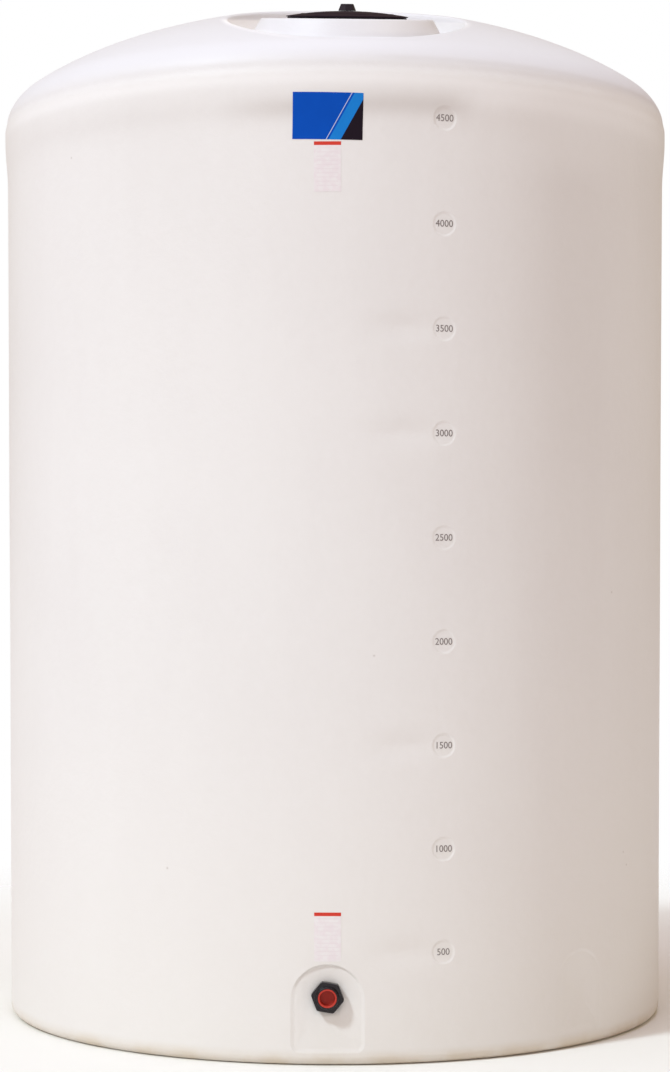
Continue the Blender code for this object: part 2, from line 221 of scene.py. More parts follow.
class Finish(ABC):
    """The finish of a surface. Its material is made once, under its own name."""

    name: str
    gloss: float

    def material(self) -> bpy.types.Material:
        """Return the material of this finish."""
        made = bpy.data.materials.get(self.name)
        if made is None:
            made = bpy.data.materials.new(self.name)
            made.use_nodes = True
            made.cycles.emission_sampling = "NONE"
            shader = made.node_tree.nodes["Principled BSDF"]
            shader.inputs["Specular IOR Level"].default_value = self.gloss
            self.paint(Graph(made.node_tree), shader)
        return made

    @abstractmethod
    def paint(self, graph: Graph, shader: bpy.types.ShaderNodeBsdfPrincipled) -> None:
        """Feed the shader's sockets.

        Args:
            graph: The material's tree.
            shader: Its surface shader.
        """

    @staticmethod
    def place(graph: Graph) -> Signal:
        """Return the coordinates on the object."""
        return graph.signal("ShaderNodeTexCoord", {}, {}, "Object")

    @staticmethod
    def link(graph: Graph, shader: bpy.types.Node, **feeds: Signal) -> None:
        """Link signals to the shader's sockets, whose names are given with underscores."""
        for name, signal in feeds.items():
            graph.tree.links.new(signal.socket, shader.inputs[name.replace("_", " ")])

    @staticmethod
    def relief(graph: Graph, height: Signal, depth: float) -> Signal:
        """Return the normal of a fine relief of a depth in metres."""
        return graph.signal("ShaderNodeBump", {}, {"Strength": 1.0, "Distance": depth, "Height": height})


@dataclass(frozen=True)
class Band:
    """A soft level band round the tank.

    Attributes:
        height: The height of its middle.
        width: Its width on both sides of that.
        strength: Its share where it is strongest.
        left: The azimuths in degrees between which it sets in.
        right: The azimuths in degrees between which it ends.
    """

    height: float
    width: float
    strength: float
    left: tuple[float, float]
    right: tuple[float, float]

    def share(self, azimuth: Signal, z: Signal) -> Signal:
        """Return the band's share of the colour."""
        reach = azimuth.step(*self.left) * azimuth.fall(*self.right)
        return z.hill(self.height, self.width) * reach * self.strength


@dataclass(frozen=True)
class NaturalPolyethylene(Finish):
    """The milky white moulded plastic of the tank: a little uneven, tan at its foot, with painted light and
    shade.
    """

    name: str = "natural_polyethylene"
    gloss: float = 0.25
    thick: Colour = (0.815, 0.790, 0.765)
    thin: Colour = (0.790, 0.762, 0.738)
    # Painted light: a warm bounce from the ground, laid over the lower wall.
    warm: Colour = (0.795, 0.755, 0.715)
    # The lighter colour that painted light blends towards, on the shoulder, in the well and on the collar.
    clear: Colour = (0.930, 0.915, 0.900)
    # Painted light: a sky tint on the roof, lighter and bluer on the right, low on the roof.
    crest: Colour = (0.766, 0.753, 0.774)
    far_crest: Colour = (0.835, 0.835, 0.880)
    shade: Colour = (0.360, 0.290, 0.240)
    stain: Colour = (0.680, 0.600, 0.500)
    stain_top: float = 0.064
    # Painted glow: emission that stands for light coming through the plastic.
    daylight: Colour = (1.0, 0.97, 1.0)
    through_well: float = 0.075
    through_wall: float = 0.10
    well_reach: tuple[float, float, float] = (0.345, 0.450, 0.02)
    collar_reach: tuple[float, float, float] = (0.310, 0.345, 0.02)
    shaded_reach: tuple[float, float, float] = (0.350, 0.460, 0.02)
    skin_reach: tuple[float, float] = (1.2855, 1.2862)
    skin_foot: tuple[float, float] = (0.0095, 0.0108)
    skin_top: tuple[float, float] = (3.38, 3.42)
    flat_sides: tuple[tuple[float, float], ...] = ((-8.0, 8.0), (37.0, 53.0))
    flat_tops: tuple[float, float] = (0.38, 0.42)
    dents: tuple[float, ...] = (0.393, 1.1225, 2.2167, 2.5815)
    dent_side: tuple[float, float] = (12.0, 5.0)
    dent_width: float = 0.045
    dent_depth: float = 0.0066
    side_shade: float = 0.09
    dark_arc: Band = Band(3.515, 0.011, 0.10, (2.0, 12.0), (75.0, 105.0))
    deep_bands: tuple[Band, ...] = (
        Band(3.337, 0.040, 0.056, (-75.0, -45.0), (18.0, 25.0)),
        Band(3.337, 0.040, 0.224, (-20.0, -5.0), (18.0, 25.0)))
    deep_rise: float = 0.016
    # Painted light: bright bands on the shoulder and on the right of the swell.
    clear_bands: tuple[Band, ...] = (
        Band(3.440, 0.022, 0.5, (-85.0, -60.0), (60.0, 85.0)),
        Band(3.478, 0.024, 0.5, (35.0, 50.0), (60.0, 85.0)),
        Band(3.395, 0.040, 0.5, (18.0, 27.0), (60.0, 85.0)))
    speck_size: tuple[float, float] = (0.16, 0.0035)
    speck_share: float = 0.45
    specks: tuple[tuple[float, float], ...] = (
        (-46.6, 3.238), (-26.3, 0.680), (7.2, 1.440), (53.2, 1.660), (57.4, 0.690), (58.6, 0.640))

    def paint(self, graph: Graph, shader: bpy.types.ShaderNodeBsdfPrincipled) -> None:
        """Feed the shader's sockets."""
        place = self.place(graph)
        x, y, z = place.parts()
        azimuth = x.math("ARCTAN2", x, y * -1.0) * degrees(1.0)
        mottle = graph.noise(place, 26.0, 3.0)
        colour = self._body(graph, place, mottle, z)
        # Painted light: the roof is tinted as if lit by the sky, lighter and bluer on its right, low on the
        # roof.
        right = azimuth.step(10.0, 60.0) * azimuth.fall(100.0, 150.0)
        crest = graph.blend(right * z.fall(3.60, 3.76), self.crest, self.far_crest)
        colour = graph.blend(z.step(3.45, 3.55) * 0.85, colour, crest)
        colour = graph.blend(self._shadows(azimuth, z), colour, self.shade)
        # Painted light: bands that lighten the shoulder and the right of the swell towards the clear colour.
        lights = sum(band.share(azimuth, z) for band in self.clear_bands)
        colour = graph.blend(lights, colour, self.clear)
        # Painted light: the well's wall, most on its shaded left side, and the collar's right side are
        # lightened.
        painted_well_light, shaded = self._in_well(graph, place)
        colour = graph.blend(painted_well_light, colour, self.clear)
        # Patchy tan over the lowest few centimetres, which is also rougher.
        patches = graph.noise(place, 7.0, 3.0).step(0.35, 0.65)
        cover = z.fall(0.010, self.stain_top) * (0.50 + 0.55 * patches)
        colour = graph.blend(cover, colour, self.stain)
        rough = 0.42 + 0.10 * mottle + 0.16 * cover
        height = 0.00035 * graph.noise(place, 240.0, 2.0) + 0.0011 * graph.noise(place, 34.0, 2.0)
        dents = sum(z.hill(middle, self.dent_width) for middle in self.dents)
        height = height - self.dent_depth * dents * azimuth.hill(*self.dent_side)
        # Painted glow: emission on the well's shaded side and on the inner skin, standing for light through
        # the plastic.
        inside = self._inside(azimuth, (x * x + y * y).math("SQRT"), z)
        through = shaded * self.through_well + inside * self.through_wall
        self.link(graph, shader, Base_Color=colour, Roughness=rough, Normal=self.relief(graph, height, 1.0),
                  Emission_Color=graph.blend(through, (0.0, 0.0, 0.0), self.daylight))
        shader.inputs["Emission Strength"].default_value = 1.0

    def _in_well(self, graph: Graph, place: Signal) -> tuple[Signal, Signal]:
        """Find the painted light on the well and the collar, and the painted glow on the well's shaded side.

        Args:
            graph: The material's tree.
            place: The coordinates.

        Returns:
            How much painted light lightens the well's wall and the collar, and how much painted glow lies on
            the well's shaded side. Both are 0 away from the manway.
        """
        off = graph.vector("SUBTRACT", place, MANWAY.place)
        across, along, up = (graph.dot(off, axis) for axis in MANWAY.matrix.to_3x3().col)
        reach = graph.size(off)
        # Painted light on the well's wall and the collar; painted glow on the well's shaded side.
        side = 0.4 + 0.5 * across.fall(-0.25, -0.05)
        well = reach.within(*self.well_reach) * along.step(-0.26, -0.12) * up.fall(-0.012, -0.004) * side
        collar = reach.within(*self.collar_reach) * across.step(-0.05, 0.15) * 0.45
        shaded = reach.within(*self.shaded_reach) * across.fall(-0.30, -0.10) * up.fall(-0.010, 0.002)
        return well + collar, shaded

    def _inside(self, azimuth: Signal, reach: Signal, z: Signal) -> Signal:
        """Return 1 on the inner skin of the wall and the floor, and 0 elsewhere.

        Args:
            azimuth: The azimuth in degrees.
            reach: The distance from the tank's axis.
            z: The height.

        Returns:
            That share.
        """
        flats = sum(azimuth.within(left, right, 1.0) for left, right in self.flat_sides)
        flats = flats * z.fall(*self.flat_tops)
        skin = reach.fall(*self.skin_reach) * z.step(*self.skin_foot) * z.fall(*self.skin_top)
        return skin * (1.0 - flats)

    def _body(self, graph: Graph, place: Signal, mottle: Signal, z: Signal) -> Signal:
        """Return the plastic's own colour, which drifts with its thickness, with a painted warm ground bounce
        low down.

        Args:
            graph: The material's tree.
            place: The coordinates.
            mottle: A fine noise.
            z: The height.

        Returns:
            The colour.
        """
        clouds = graph.noise(place, 0.9, 3.0)
        streaks = graph.noise(place, 2.2, 2.0, (3.2, 3.2, 0.35))
        share = (clouds * 0.60 + streaks * 0.22 + mottle * 0.18).step(0.34, 0.66)
        colour = graph.blend(share, self.thin, self.thick)
        # Painted light: the warm ground bounce, strongest at the foot and gone by 1.8 m.
        return graph.blend(z.fall(0.0, 1.8) * 0.6, colour, self.warm)

    def _shadows(self, azimuth: Signal, z: Signal) -> Signal:
        """Return the share of the darker bands round the shoulder, and of the specks.

        Args:
            azimuth: The azimuth in degrees.
            z: The height.

        Returns:
            The share of the shade's colour.
        """
        below = z - self.deep_rise * azimuth.step(-10.0, 12.0)
        shares = self.dark_arc.share(azimuth, z)
        shares = sum((band.share(azimuth, below) for band in self.deep_bands), shares)
        shares = shares + azimuth.hill(42.0, 12.0) * z.step(1.6, 2.6) * z.fall(3.10, 3.25) * self.side_shade
        wide, high = self.speck_size
        specks = sum(azimuth.hill(side, wide) * z.hill(height, high) for side, height in self.specks)
        return shares + specks * self.speck_share


@dataclass(frozen=True)
class MouldedPlastic(Finish):
    """A dark or coloured moulded plastic, with a fine grain and rubbed patches."""

    name: str
    base: Colour
    rubbed: Colour
    roughness: float = 0.38
    grain: float = 420.0
    grain_depth: float = 0.0001
    rubbing: float = 0.35
    gloss: float = 0.5

    def paint(self, graph: Graph, shader: bpy.types.ShaderNodeBsdfPrincipled) -> None:
        """Feed the shader's sockets."""
        place = self.place(graph)
        patches = graph.noise(place, 14.0, 4.0).step(0.42, 0.78)
        edge = graph.signal("ShaderNodeNewGeometry", {}, {}, "Pointiness").step(0.52, 0.62)
        worn = (patches * 0.5 + edge * 0.6) * self.rubbing
        colour = self.deepen(graph, place, graph.blend(worn, self.base, self.rubbed))
        dust = graph.noise(place, 60.0, 3.0)
        rough = self.roughness + 0.14 * dust + 0.12 * patches
        normal = self.relief(graph, graph.noise(place, self.grain, 2.0), self.grain_depth)
        self.link(graph, shader, Base_Color=colour, Roughness=rough, Normal=normal)

    def deepen(self, graph: Graph, place: Signal, colour: Signal) -> Signal:
        """Return the colour as it is. A finish with painted shade in a hollow darkens it there."""
        return colour


@dataclass(frozen=True)
class CupPlastic(MouldedPlastic):
    """A moulded plastic with painted shade on the floor of a cup, which faces -Y."""

    # Painted shade: the colour of the cup's floor.
    floor: Colour = (0.325, 0.017, 0.006)
    floor_y: float = -1.3085

    def deepen(self, graph: Graph, place: Signal, colour: Signal) -> Signal:
        """Return the colour with painted shade, darker from the floor of the cup inwards."""
        share = place.parts()[1].step(self.floor_y - 0.014, self.floor_y - 0.001)
        return graph.blend(share, colour, self.floor)


@dataclass(frozen=True)
class LabelPrint(Finish):
    """A printed film: a blue field with slanted light bands and a dark corner."""

    name: str = "blue_label_film"
    gloss: float = 0.06
    field_blue: Colour = (0.002, 0.078, 0.470)
    deep_blue: Colour = (0.001, 0.062, 0.400)
    light_blue: Colour = (0.012, 0.220, 0.640)
    dark: Colour = (0.014, 0.008, 0.014)
    pale: Colour = (0.78, 0.80, 0.84)
    aspect: float = 1.54
    lean: float = 0.55
    wide_band: tuple[float, float] = (0.80, 1.06)
    fine_line: tuple[float, float] = (0.735, 0.750)

    def paint(self, graph: Graph, shader: bpy.types.ShaderNodeBsdfPrincipled) -> None:
        """Feed the shader's sockets."""
        u, v, _ = graph.signal("ShaderNodeUVMap", {"uv_map": PrintedFilm.UV}, {}).parts()
        place = self.place(graph)
        slant = u * self.aspect - v * self.lean
        shade = graph.noise(place, 22.0, 3.0)
        colour = graph.blend(shade * 0.7, self.field_blue, self.deep_blue)
        band = slant.within(*self.wide_band, 0.012) * (0.75 + 0.25 * shade)
        colour = graph.blend(band, colour, self.light_blue)
        colour = graph.blend(slant.within(*self.fine_line, 0.010) * 0.8, colour, self.pale)
        corner = self.wide_band[1]
        colour = graph.blend(slant.step(corner - 0.004, corner + 0.006), colour, self.dark)
        normal = self.relief(graph, graph.noise(place, 90.0, 2.0), 0.0001)
        self.link(graph, shader, Base_Color=colour, Roughness=0.40 + 0.12 * shade, Normal=normal)


@dataclass(frozen=True)
class CardPrint(Finish):
    """A thin pale film with a plain red head and faint ruled lines, through which the tank shows."""

    name: str = "pale_card_film"
    gloss: float = 0.25
    film: Colour = (0.805, 0.732, 0.742)
    rule: Colour = (0.770, 0.690, 0.700)
    clear: Colour = (0.830, 0.800, 0.790)
    head: Colour = (0.640, 0.042, 0.024)
    head_share: float = 0.073
    rules: int = 12

    def paint(self, graph: Graph, shader: bpy.types.ShaderNodeBsdfPrincipled) -> None:
        """Feed the shader's sockets."""
        u, v, _ = graph.signal("ShaderNodeUVMap", {"uv_map": PrintedFilm.UV}, {}).parts()
        place = self.place(graph)
        cloud = graph.noise(place, 48.0, 3.0)
        colour = graph.blend(cloud.step(0.35, 0.65) * 0.7, self.film, self.clear)
        row = (v * self.rules).math("FRACT")
        lines = row.within(0.36, 0.60, 0.20) * u.within(0.10, 0.90, 0.04) * v.within(0.05, 0.88, 0.02)
        colour = graph.blend(lines * 0.55, colour, self.rule)
        head_edge = 1.0 - self.head_share
        colour = graph.blend(v.step(head_edge - 0.004, head_edge + 0.004), colour, self.head)
        normal = self.relief(graph, graph.noise(place, 110.0, 2.0), 0.0001)
        self.link(graph, shader, Base_Color=colour, Roughness=0.46 + 0.10 * cloud, Normal=normal)


@dataclass(frozen=True)
class StudioFloor(Finish):
    """The plain pale floor of the studio."""

    name: str = "studio_floor"
    gloss: float = 0.5
    pale: Colour = (0.88, 0.865, 0.82)
    fade: tuple[float, float] = (1.7, 5.5)

    def paint(self, graph: Graph, shader: bpy.types.ShaderNodeBsdfPrincipled) -> None:
        """Feed the shader's sockets."""
        place = self.place(graph)
        cloud = graph.noise(place, 0.6, 2.0)
        colour = graph.blend(cloud * 0.3, self.pale, tuple(0.97 * part for part in self.pale))
        across, along, _ = place.parts()
        away = (across * across + along * along).math("SQRT")
        self.link(graph, shader, Base_Color=colour, Roughness=0.75 + 0.1 * cloud, Alpha=away.fall(*self.fade))


@dataclass(frozen=True)
class TankSection:
    """The outer section of the tank, from the centre of its base out, up and over to the top."""

    radius: float = 1.2954
    head_radius: float = 1.304
    knuckle_r: float = 0.033
    swell_start: float = 3.250
    swell_end: float = 3.412
    groove_z: float = 3.482
    groove_width: float = 0.017
    groove_depth: float = 0.0028
    spring: float = 3.447
    shoulder_r: float = 0.180
    crown_a: float = 1.503
    crown_b: float = 0.733

    def crown_normal(self, t: float) -> tuple[float, float]:
        """Return the crown's outward normal at its ellipse angle, counted from the apex."""
        r, z = sin(t) / self.crown_a, cos(t) / self.crown_b
        return r / hypot(r, z), z / hypot(r, z)

    @cached_property
    def crown_edge(self) -> float:
        """The ellipse angle where the crown runs smoothly into the shoulder."""
        low, high = 0.1, 1.5
        for _ in range(60):
            middle = (low + high) / 2
            reach = self.crown_a * sin(middle) + self.shoulder_r * (1 - self.crown_normal(middle)[0])
            low, high = (middle, high) if reach < self.head_radius else (low, middle)
        return low

    @cached_property
    def crown_z(self) -> float:
        """The height of the crown ellipse's centre."""
        rise = self.shoulder_r * self.crown_normal(self.crown_edge)[1]
        return self.spring + rise - self.crown_b * cos(self.crown_edge)

    def wall_radius(self, height: np.ndarray) -> np.ndarray:
        """Return the wall's radius at some heights, with its swell below the shoulder."""
        share = np.clip((height - self.swell_start) / (self.swell_end - self.swell_start), 0, 1)
        return self.radius + (self.head_radius - self.radius) * share * share * (3 - 2 * share)

    def roof_height(self, radius: np.ndarray) -> np.ndarray:
        """Return the height of the roof at some radii."""
        crown = self.crown_z + self.crown_b * np.sqrt(np.maximum(1 - (radius / self.crown_a) ** 2, 0))
        out = radius - (self.head_radius - self.shoulder_r)
        shoulder = self.spring + np.sqrt(np.maximum(self.shoulder_r**2 - out**2, 0))
        return np.where(radius < self.crown_a * sin(self.crown_edge), crown, shoulder)

    @cached_property
    def points(self) -> np.ndarray:
        """The section as closely spaced points of radius and height."""
        foot = self.radius - self.knuckle_r
        turn = np.linspace(-pi / 2, 0, 25)
        knuckle = np.stack([foot + self.knuckle_r * np.cos(turn), self.knuckle_r * (1 + np.sin(turn))], 1)
        heights = np.linspace(self.knuckle_r, self.spring, 500)[1:]
        wall = np.stack([self.wall_radius(heights), heights], 1)
        normal = self.crown_normal(self.crown_edge)
        turn = np.linspace(0, atan2(normal[1], normal[0]), 61)[1:]
        middle = self.head_radius - self.shoulder_r
        shoulder = np.stack([
            middle + self.shoulder_r * np.cos(turn), self.spring + self.shoulder_r * np.sin(turn)], 1)
        t = np.linspace(self.crown_edge, 0, 241)[1:]
        crown = np.stack([self.crown_a * np.sin(t), self.crown_z + self.crown_b * np.cos(t)], 1)
        line = np.concatenate([[[0.0, 0.0]], knuckle, wall, shoulder, crown])
        line[:, 0] -= self.groove_depth * np.exp(-(((line[:, 1] - self.groove_z) / self.groove_width) ** 2))
        return line

    @cached_property
    def lengths(self) -> np.ndarray:
        """The length along the section at each of its points."""
        steps = np.hypot(*np.diff(self.points, axis=0).T)
        return np.concatenate([[0.0], np.cumsum(steps)])

    def length_at_height(self, height: float | np.ndarray) -> float | np.ndarray:
        """Return the length along the section at a height above the knuckle."""
        return np.interp(height, self.points[1:, 1], self.lengths[1:])

    def length_at_roof_radius(self, radius: float | np.ndarray) -> float | np.ndarray:
        """Return the length along the section at a radius of the roof."""
        roof = self.points[:, 1] > self.spring
        return np.interp(-radius, -self.points[roof, 0], self.lengths[roof])

    def guide(self) -> bpy.types.Object:
        """Return the section as a line that a tree can sample, in the plane of X and Z."""
        mesh = bpy.data.meshes.new("section_line")
        count = len(self.points)
        mesh.from_pydata([(r, 0.0, z) for r, z in self.points], [(i, i + 1) for i in range(count - 1)], [])
        return bpy.data.objects.new("section_line", mesh)


SECTION = TankSection()


@dataclass(frozen=True)
class ManwayFrame:
    """The tilted frame of the manway. Its floor is the top of the collar."""

    azimuth: float = 4.15
    offset: float = 0.838
    height: float = 3.7465
    tilt: float = 13.0

    @cached_property
    def matrix(self) -> Matrix:
        """The matrix from this frame to the tank's."""
        return Matrix.Translation(self.place) @ self.turn.to_matrix().to_4x4()

    @cached_property
    def place(self) -> Vector:
        """The frame's origin."""
        angle = radians(self.azimuth)
        return Vector((self.offset * sin(angle), -self.offset * cos(angle), self.height))

    @cached_property
    def turn(self) -> Euler:
        """The frame's rotation."""
        return Euler((radians(self.tilt), 0.0, radians(self.azimuth)))

    def out(self, points: np.ndarray) -> np.ndarray:
        """Return points of this frame in the tank's."""
        matrix = np.array(self.matrix)
        return points @ matrix[:3, :3].T + matrix[:3, 3]


MANWAY = ManwayFrame()


SHELL_FINISH = NaturalPolyethylene()
LID_FINISH = MouldedPlastic(
    "dark_lid_plastic", (0.013, 0.004, 0.012), (0.029, 0.014, 0.026), 0.50, gloss=0.07)
VENT_FINISH = MouldedPlastic(
    "dark_vent_plastic", (0.024, 0.015, 0.022), (0.048, 0.034, 0.044), 0.50, gloss=0.25)
FITTING_FINISH = MouldedPlastic(
    "black_fitting_plastic", (0.009, 0.006, 0.008), (0.034, 0.028, 0.032), 0.24, gloss=0.36)
PLUG_FINISH = CupPlastic(
    "red_plug_plastic", (0.500, 0.038, 0.024), (0.600, 0.105, 0.068), 0.34, gloss=0.25)
NUMBER_FINISH = MouldedPlastic(
    "number_ink", (0.195, 0.165, 0.158), (0.270, 0.240, 0.225), 0.55, gloss=0.25)
RUBBER_FINISH = MouldedPlastic(
    "gasket_rubber", (0.018, 0.018, 0.018), (0.050, 0.048, 0.046), 0.75, 200.0, 0.0002)


class ShapeTree(ABC):
    """Geometry Nodes with named inputs, the last of which is the finish of what they make."""

    NAME: str
    INPUTS: dict[str, str]

    def __init__(self) -> None:
        """Build the tree of nodes, which all its shapes share."""
        self.tree = bpy.data.node_groups.new(self.NAME, "GeometryNodeTree")
        for name, kind in {**self.INPUTS, "Finish": "Material"}.items():
            self.tree.interface.new_socket(name, in_out="INPUT", socket_type=f"NodeSocket{kind}")
        self.tree.interface.new_socket("Shape", in_out="OUTPUT", socket_type="NodeSocketGeometry")
        graph = Graph(self.tree)
        given = graph.node("NodeGroupInput", {}, {})
        inputs = {output.name: Signal(graph, output) for output in given.outputs if output.name}
        shape = self.shape(graph, inputs)
        shape = graph.signal("GeometryNodeRealizeInstances", {}, {"Geometry": shape})
        shape = graph.signal("GeometryNodeSetMaterial", {}, {
            "Geometry": shape, "Material": inputs["Finish"]})
        graph.node("NodeGroupOutput", {}, {"Shape": shape})

    @abstractmethod
    def shape(self, graph: Graph, inputs: dict[str, Signal]) -> Signal:
        """Add the nodes of the shape.

        Args:
            graph: The tree.
            inputs: The tree's inputs, by name.

        Returns:
            The shape.
        """

    def run(self, name: str, mesh: bpy.types.Mesh, finish: Finish, values: dict) -> bpy.types.Object:
        """Run the nodes on a mesh and keep their result as a plain mesh.

        Args:
            name: The name of the object that is made.
            mesh: The mesh that goes in.
            finish: The finish of its surface.
            values: The values of the other named inputs.

        Returns:
            An object without modifiers.
        """
        values = {**values, "Finish": finish.material()}
        item = bpy.data.objects.new(name, mesh)
        bpy.context.scene.collection.objects.link(item)
        modifier = item.modifiers.new("Shape", "NODES")
        modifier.node_group = self.tree
        for socket in self.tree.interface.items_tree:
            if socket.item_type == "SOCKET" and socket.in_out == "INPUT" and socket.name in values:
                modifier[socket.identifier] = values[socket.name]
        depsgraph = bpy.context.evaluated_depsgraph_get()
        result = bpy.data.meshes.new_from_object(item.evaluated_get(depsgraph), depsgraph=depsgraph)
        item.modifiers.remove(modifier)
        item.data = result
        result.name = name
        return item


class Bender(ShapeTree):
    """Geometry Nodes that bend a laid-out sheet round the tank, and place what is marked as placed."""

    NAME = "bend_round_tank"
    INPUTS = {"Sheet": "Geometry", "Section": "Object", "Manway Place": "Vector", "Manway Turn": "Vector"}
    PLACED = "placed"

    def shape(self, graph: Graph, inputs: dict[str, Signal]) -> Signal:
        """Add the nodes of the shape."""
        line = graph.signal("GeometryNodeObjectInfo", {}, {"Object": inputs["Section"]}, "Geometry")
        line = graph.signal("GeometryNodeMeshToCurve", {}, {"Mesh": line})
        place = graph.signal("GeometryNodeInputPosition", {}, {})
        azimuth, length, height = place.parts()
        sample = graph.node("GeometryNodeSampleCurve", {"mode": "LENGTH"}, {"Curves": line, "Length": length})
        r, _, z = Signal(graph, sample.outputs["Position"]).parts()
        tangent_r, _, tangent_z = Signal(graph, sample.outputs["Tangent"]).parts()
        r = r + height * tangent_z
        z = z - height * tangent_r
        bent = graph.combine(r * azimuth.math("SINE"), r * azimuth.math("COSINE") * -1.0, z)
        turned = graph.signal("ShaderNodeVectorRotate", {"rotation_type": "EULER_XYZ"}, {
            "Vector": place, "Rotation": inputs["Manway Turn"]})
        turned = graph.vector("ADD", turned, inputs["Manway Place"])
        marked = graph.signal("GeometryNodeInputNamedAttribute", {"data_type": "FLOAT"}, {
            "Name": self.PLACED})
        final = graph.signal("ShaderNodeMix", {"data_type": "VECTOR"}, {0: marked, 4: bent, 5: turned}, 1)
        surface = graph.signal("GeometryNodeSetPosition", {}, {
            "Geometry": inputs["Sheet"], "Position": final})
        return graph.signal("GeometryNodeSetShadeSmooth", {}, {"Geometry": surface})

    def bend(self, name: str, mesh: bpy.types.Mesh, finish: Finish) -> bpy.types.Object:
        """Bend a laid-out mesh round the tank.

        Args:
            name: The piece's name.
            mesh: The sheet, as azimuth, length along the section and height above it.
            finish: The finish of its surface.

        Returns:
            The piece, as a plain mesh in its place.
        """
        guide = SECTION.guide()
        bpy.context.scene.collection.objects.link(guide)
        values = {"Section": guide, "Manway Place": MANWAY.place, "Manway Turn": Vector(MANWAY.turn)}
        piece = self.run(name, mesh, finish, values)
        bpy.data.objects.remove(guide)
        return piece


class Sheet:
    """The points and faces of a surface that is laid out ring by ring."""

    def __init__(self) -> None:
        """Start empty."""
        self.points: list[Point] = []
        self.placed: list[float] = []
        self.faces: list[tuple[int, ...]] = []

    def ring(self, points: np.ndarray, placed: bool = False) -> list[int]:
        """Add a ring of points.

        Args:
            points: The points.
            placed: Whether they lie in the manway's frame, and so aren't bent round the tank.

        Returns:
            Their numbers.
        """
        start = len(self.points)
        self.points += [tuple(map(float, point)) for point in points]
        self.placed += [float(placed)] * len(points)
        return list(range(start, len(self.points)))

    def bridge(self, near: Sequence[int], far: Sequence[int], left_open: Iterable[int] = ()) -> None:
        """Join two rings of as many points with quads.

        Args:
            near: The first ring.
            far: The second ring.
            left_open: The columns that get no quad.
        """
        for i in sorted(set(range(len(near))) - set(left_open)):
            j = (i + 1) % len(near)
            self.faces.append((near[i], near[j], far[j], far[i]))

    def double(self, near: Sequence[int], far: Sequence[int]) -> None:
        """Join a ring to one inside it that has twice as many points."""
        for i in range(len(near)):
            j = (i + 1) % len(near)
            first, middle, last = far[2 * i], far[2 * i + 1], far[(2 * i + 2) % len(far)]
            self.faces += [(near[i], middle, first), (near[i], near[j], middle), (near[j], last, middle)]

    def cap(self, ring: Sequence[int], centre: Point, first: bool = False) -> None:
        """Close a ring to a point.

        Args:
            ring: The ring.
            centre: The point.
            first: Whether it is the surface's first ring, which is closed the other way round.
        """
        middle = self.ring(np.array([centre]))[0]
        for i in range(len(ring)):
            j = (i + 1) % len(ring)
            self.faces.append((middle, ring[j], ring[i]) if first else (ring[i], ring[j], middle))

    def mesh(self, name: str) -> bpy.types.Mesh:
        """Return the surface as a mesh, without points that no face uses."""
        used = sorted({point for face in self.faces for point in face})
        number = {old: new for new, old in enumerate(used)}
        mesh = bpy.data.meshes.new(name)
        faces = [tuple(number[point] for point in face) for face in self.faces]
        mesh.from_pydata([self.points[point] for point in used], [], faces)
        marks = mesh.attributes.new(Bender.PLACED, "FLOAT", "POINT")
        marks.data.foreach_set("value", np.array([self.placed[point] for point in used], np.float32))
        return mesh


@dataclass(frozen=True)
class Recess(ABC):
    """A shape sunk into the wall, at an azimuth in degrees and a height. The outlet may pierce it."""

    azimuth: float
    height: float
    depth: float
    slope: tuple[float, float]
    edge_share: float
    floor_shares: tuple[float, ...]
    pierced: bool = False

    @property
    def middle(self) -> tuple[float, float]:
        """Its middle, as azimuth in radians and length along the section."""
        return radians(self.azimuth), SECTION.length_at_height(self.height)

    @abstractmethod
    def reach(self, angles: np.ndarray, grow: float) -> np.ndarray:
        """Return how far the outline is from the middle at some angles, grown by an amount."""

    def floor(self, across: np.ndarray, inset: float) -> np.ndarray:
        """Return the height of the flat floor over the round wall, some way across it."""
        return (SECTION.radius - self.depth - inset) / np.cos(across / SECTION.radius) - SECTION.radius

    def edge(self, angles: np.ndarray) -> np.ndarray:
        """Return how far the surface has gone down just inside the outline, at some angles."""
        return np.full(len(angles), self.edge_share)

    def sunk(self, grow: float, angles: np.ndarray) -> np.ndarray:
        """Return how far the surface has gone down to the floor at an offset from the outline."""
        share = min(max((grow - self.slope[0]) / (self.slope[1] - self.slope[0]), 0.0), 1.0)
        return self.edge(angles) * (1.0 - share * share * (3 - 2 * share))

    def dished(self, share: float, angles: np.ndarray) -> np.ndarray:
        """Return how far the surface has gone down at a share of the way from the edge to the middle."""
        return self.edge(angles) + (1 - self.edge(angles)) * sin(share * pi / 2)


@dataclass(frozen=True)
class RoundRecess(Recess):
    """The round pocket of a volume mark."""

    radius: float = 0.0425
    depth: float = 0.0032
    slope: tuple[float, float] = (-0.0070, 0.0025)
    edge_share: float = 1.0
    floor_shares: tuple[float, ...] = (0.4, 0.75)

    def reach(self, angles: np.ndarray, grow: float) -> np.ndarray:
        """Return how far the outline is from the middle."""
        return np.full(len(angles), self.radius + grow)


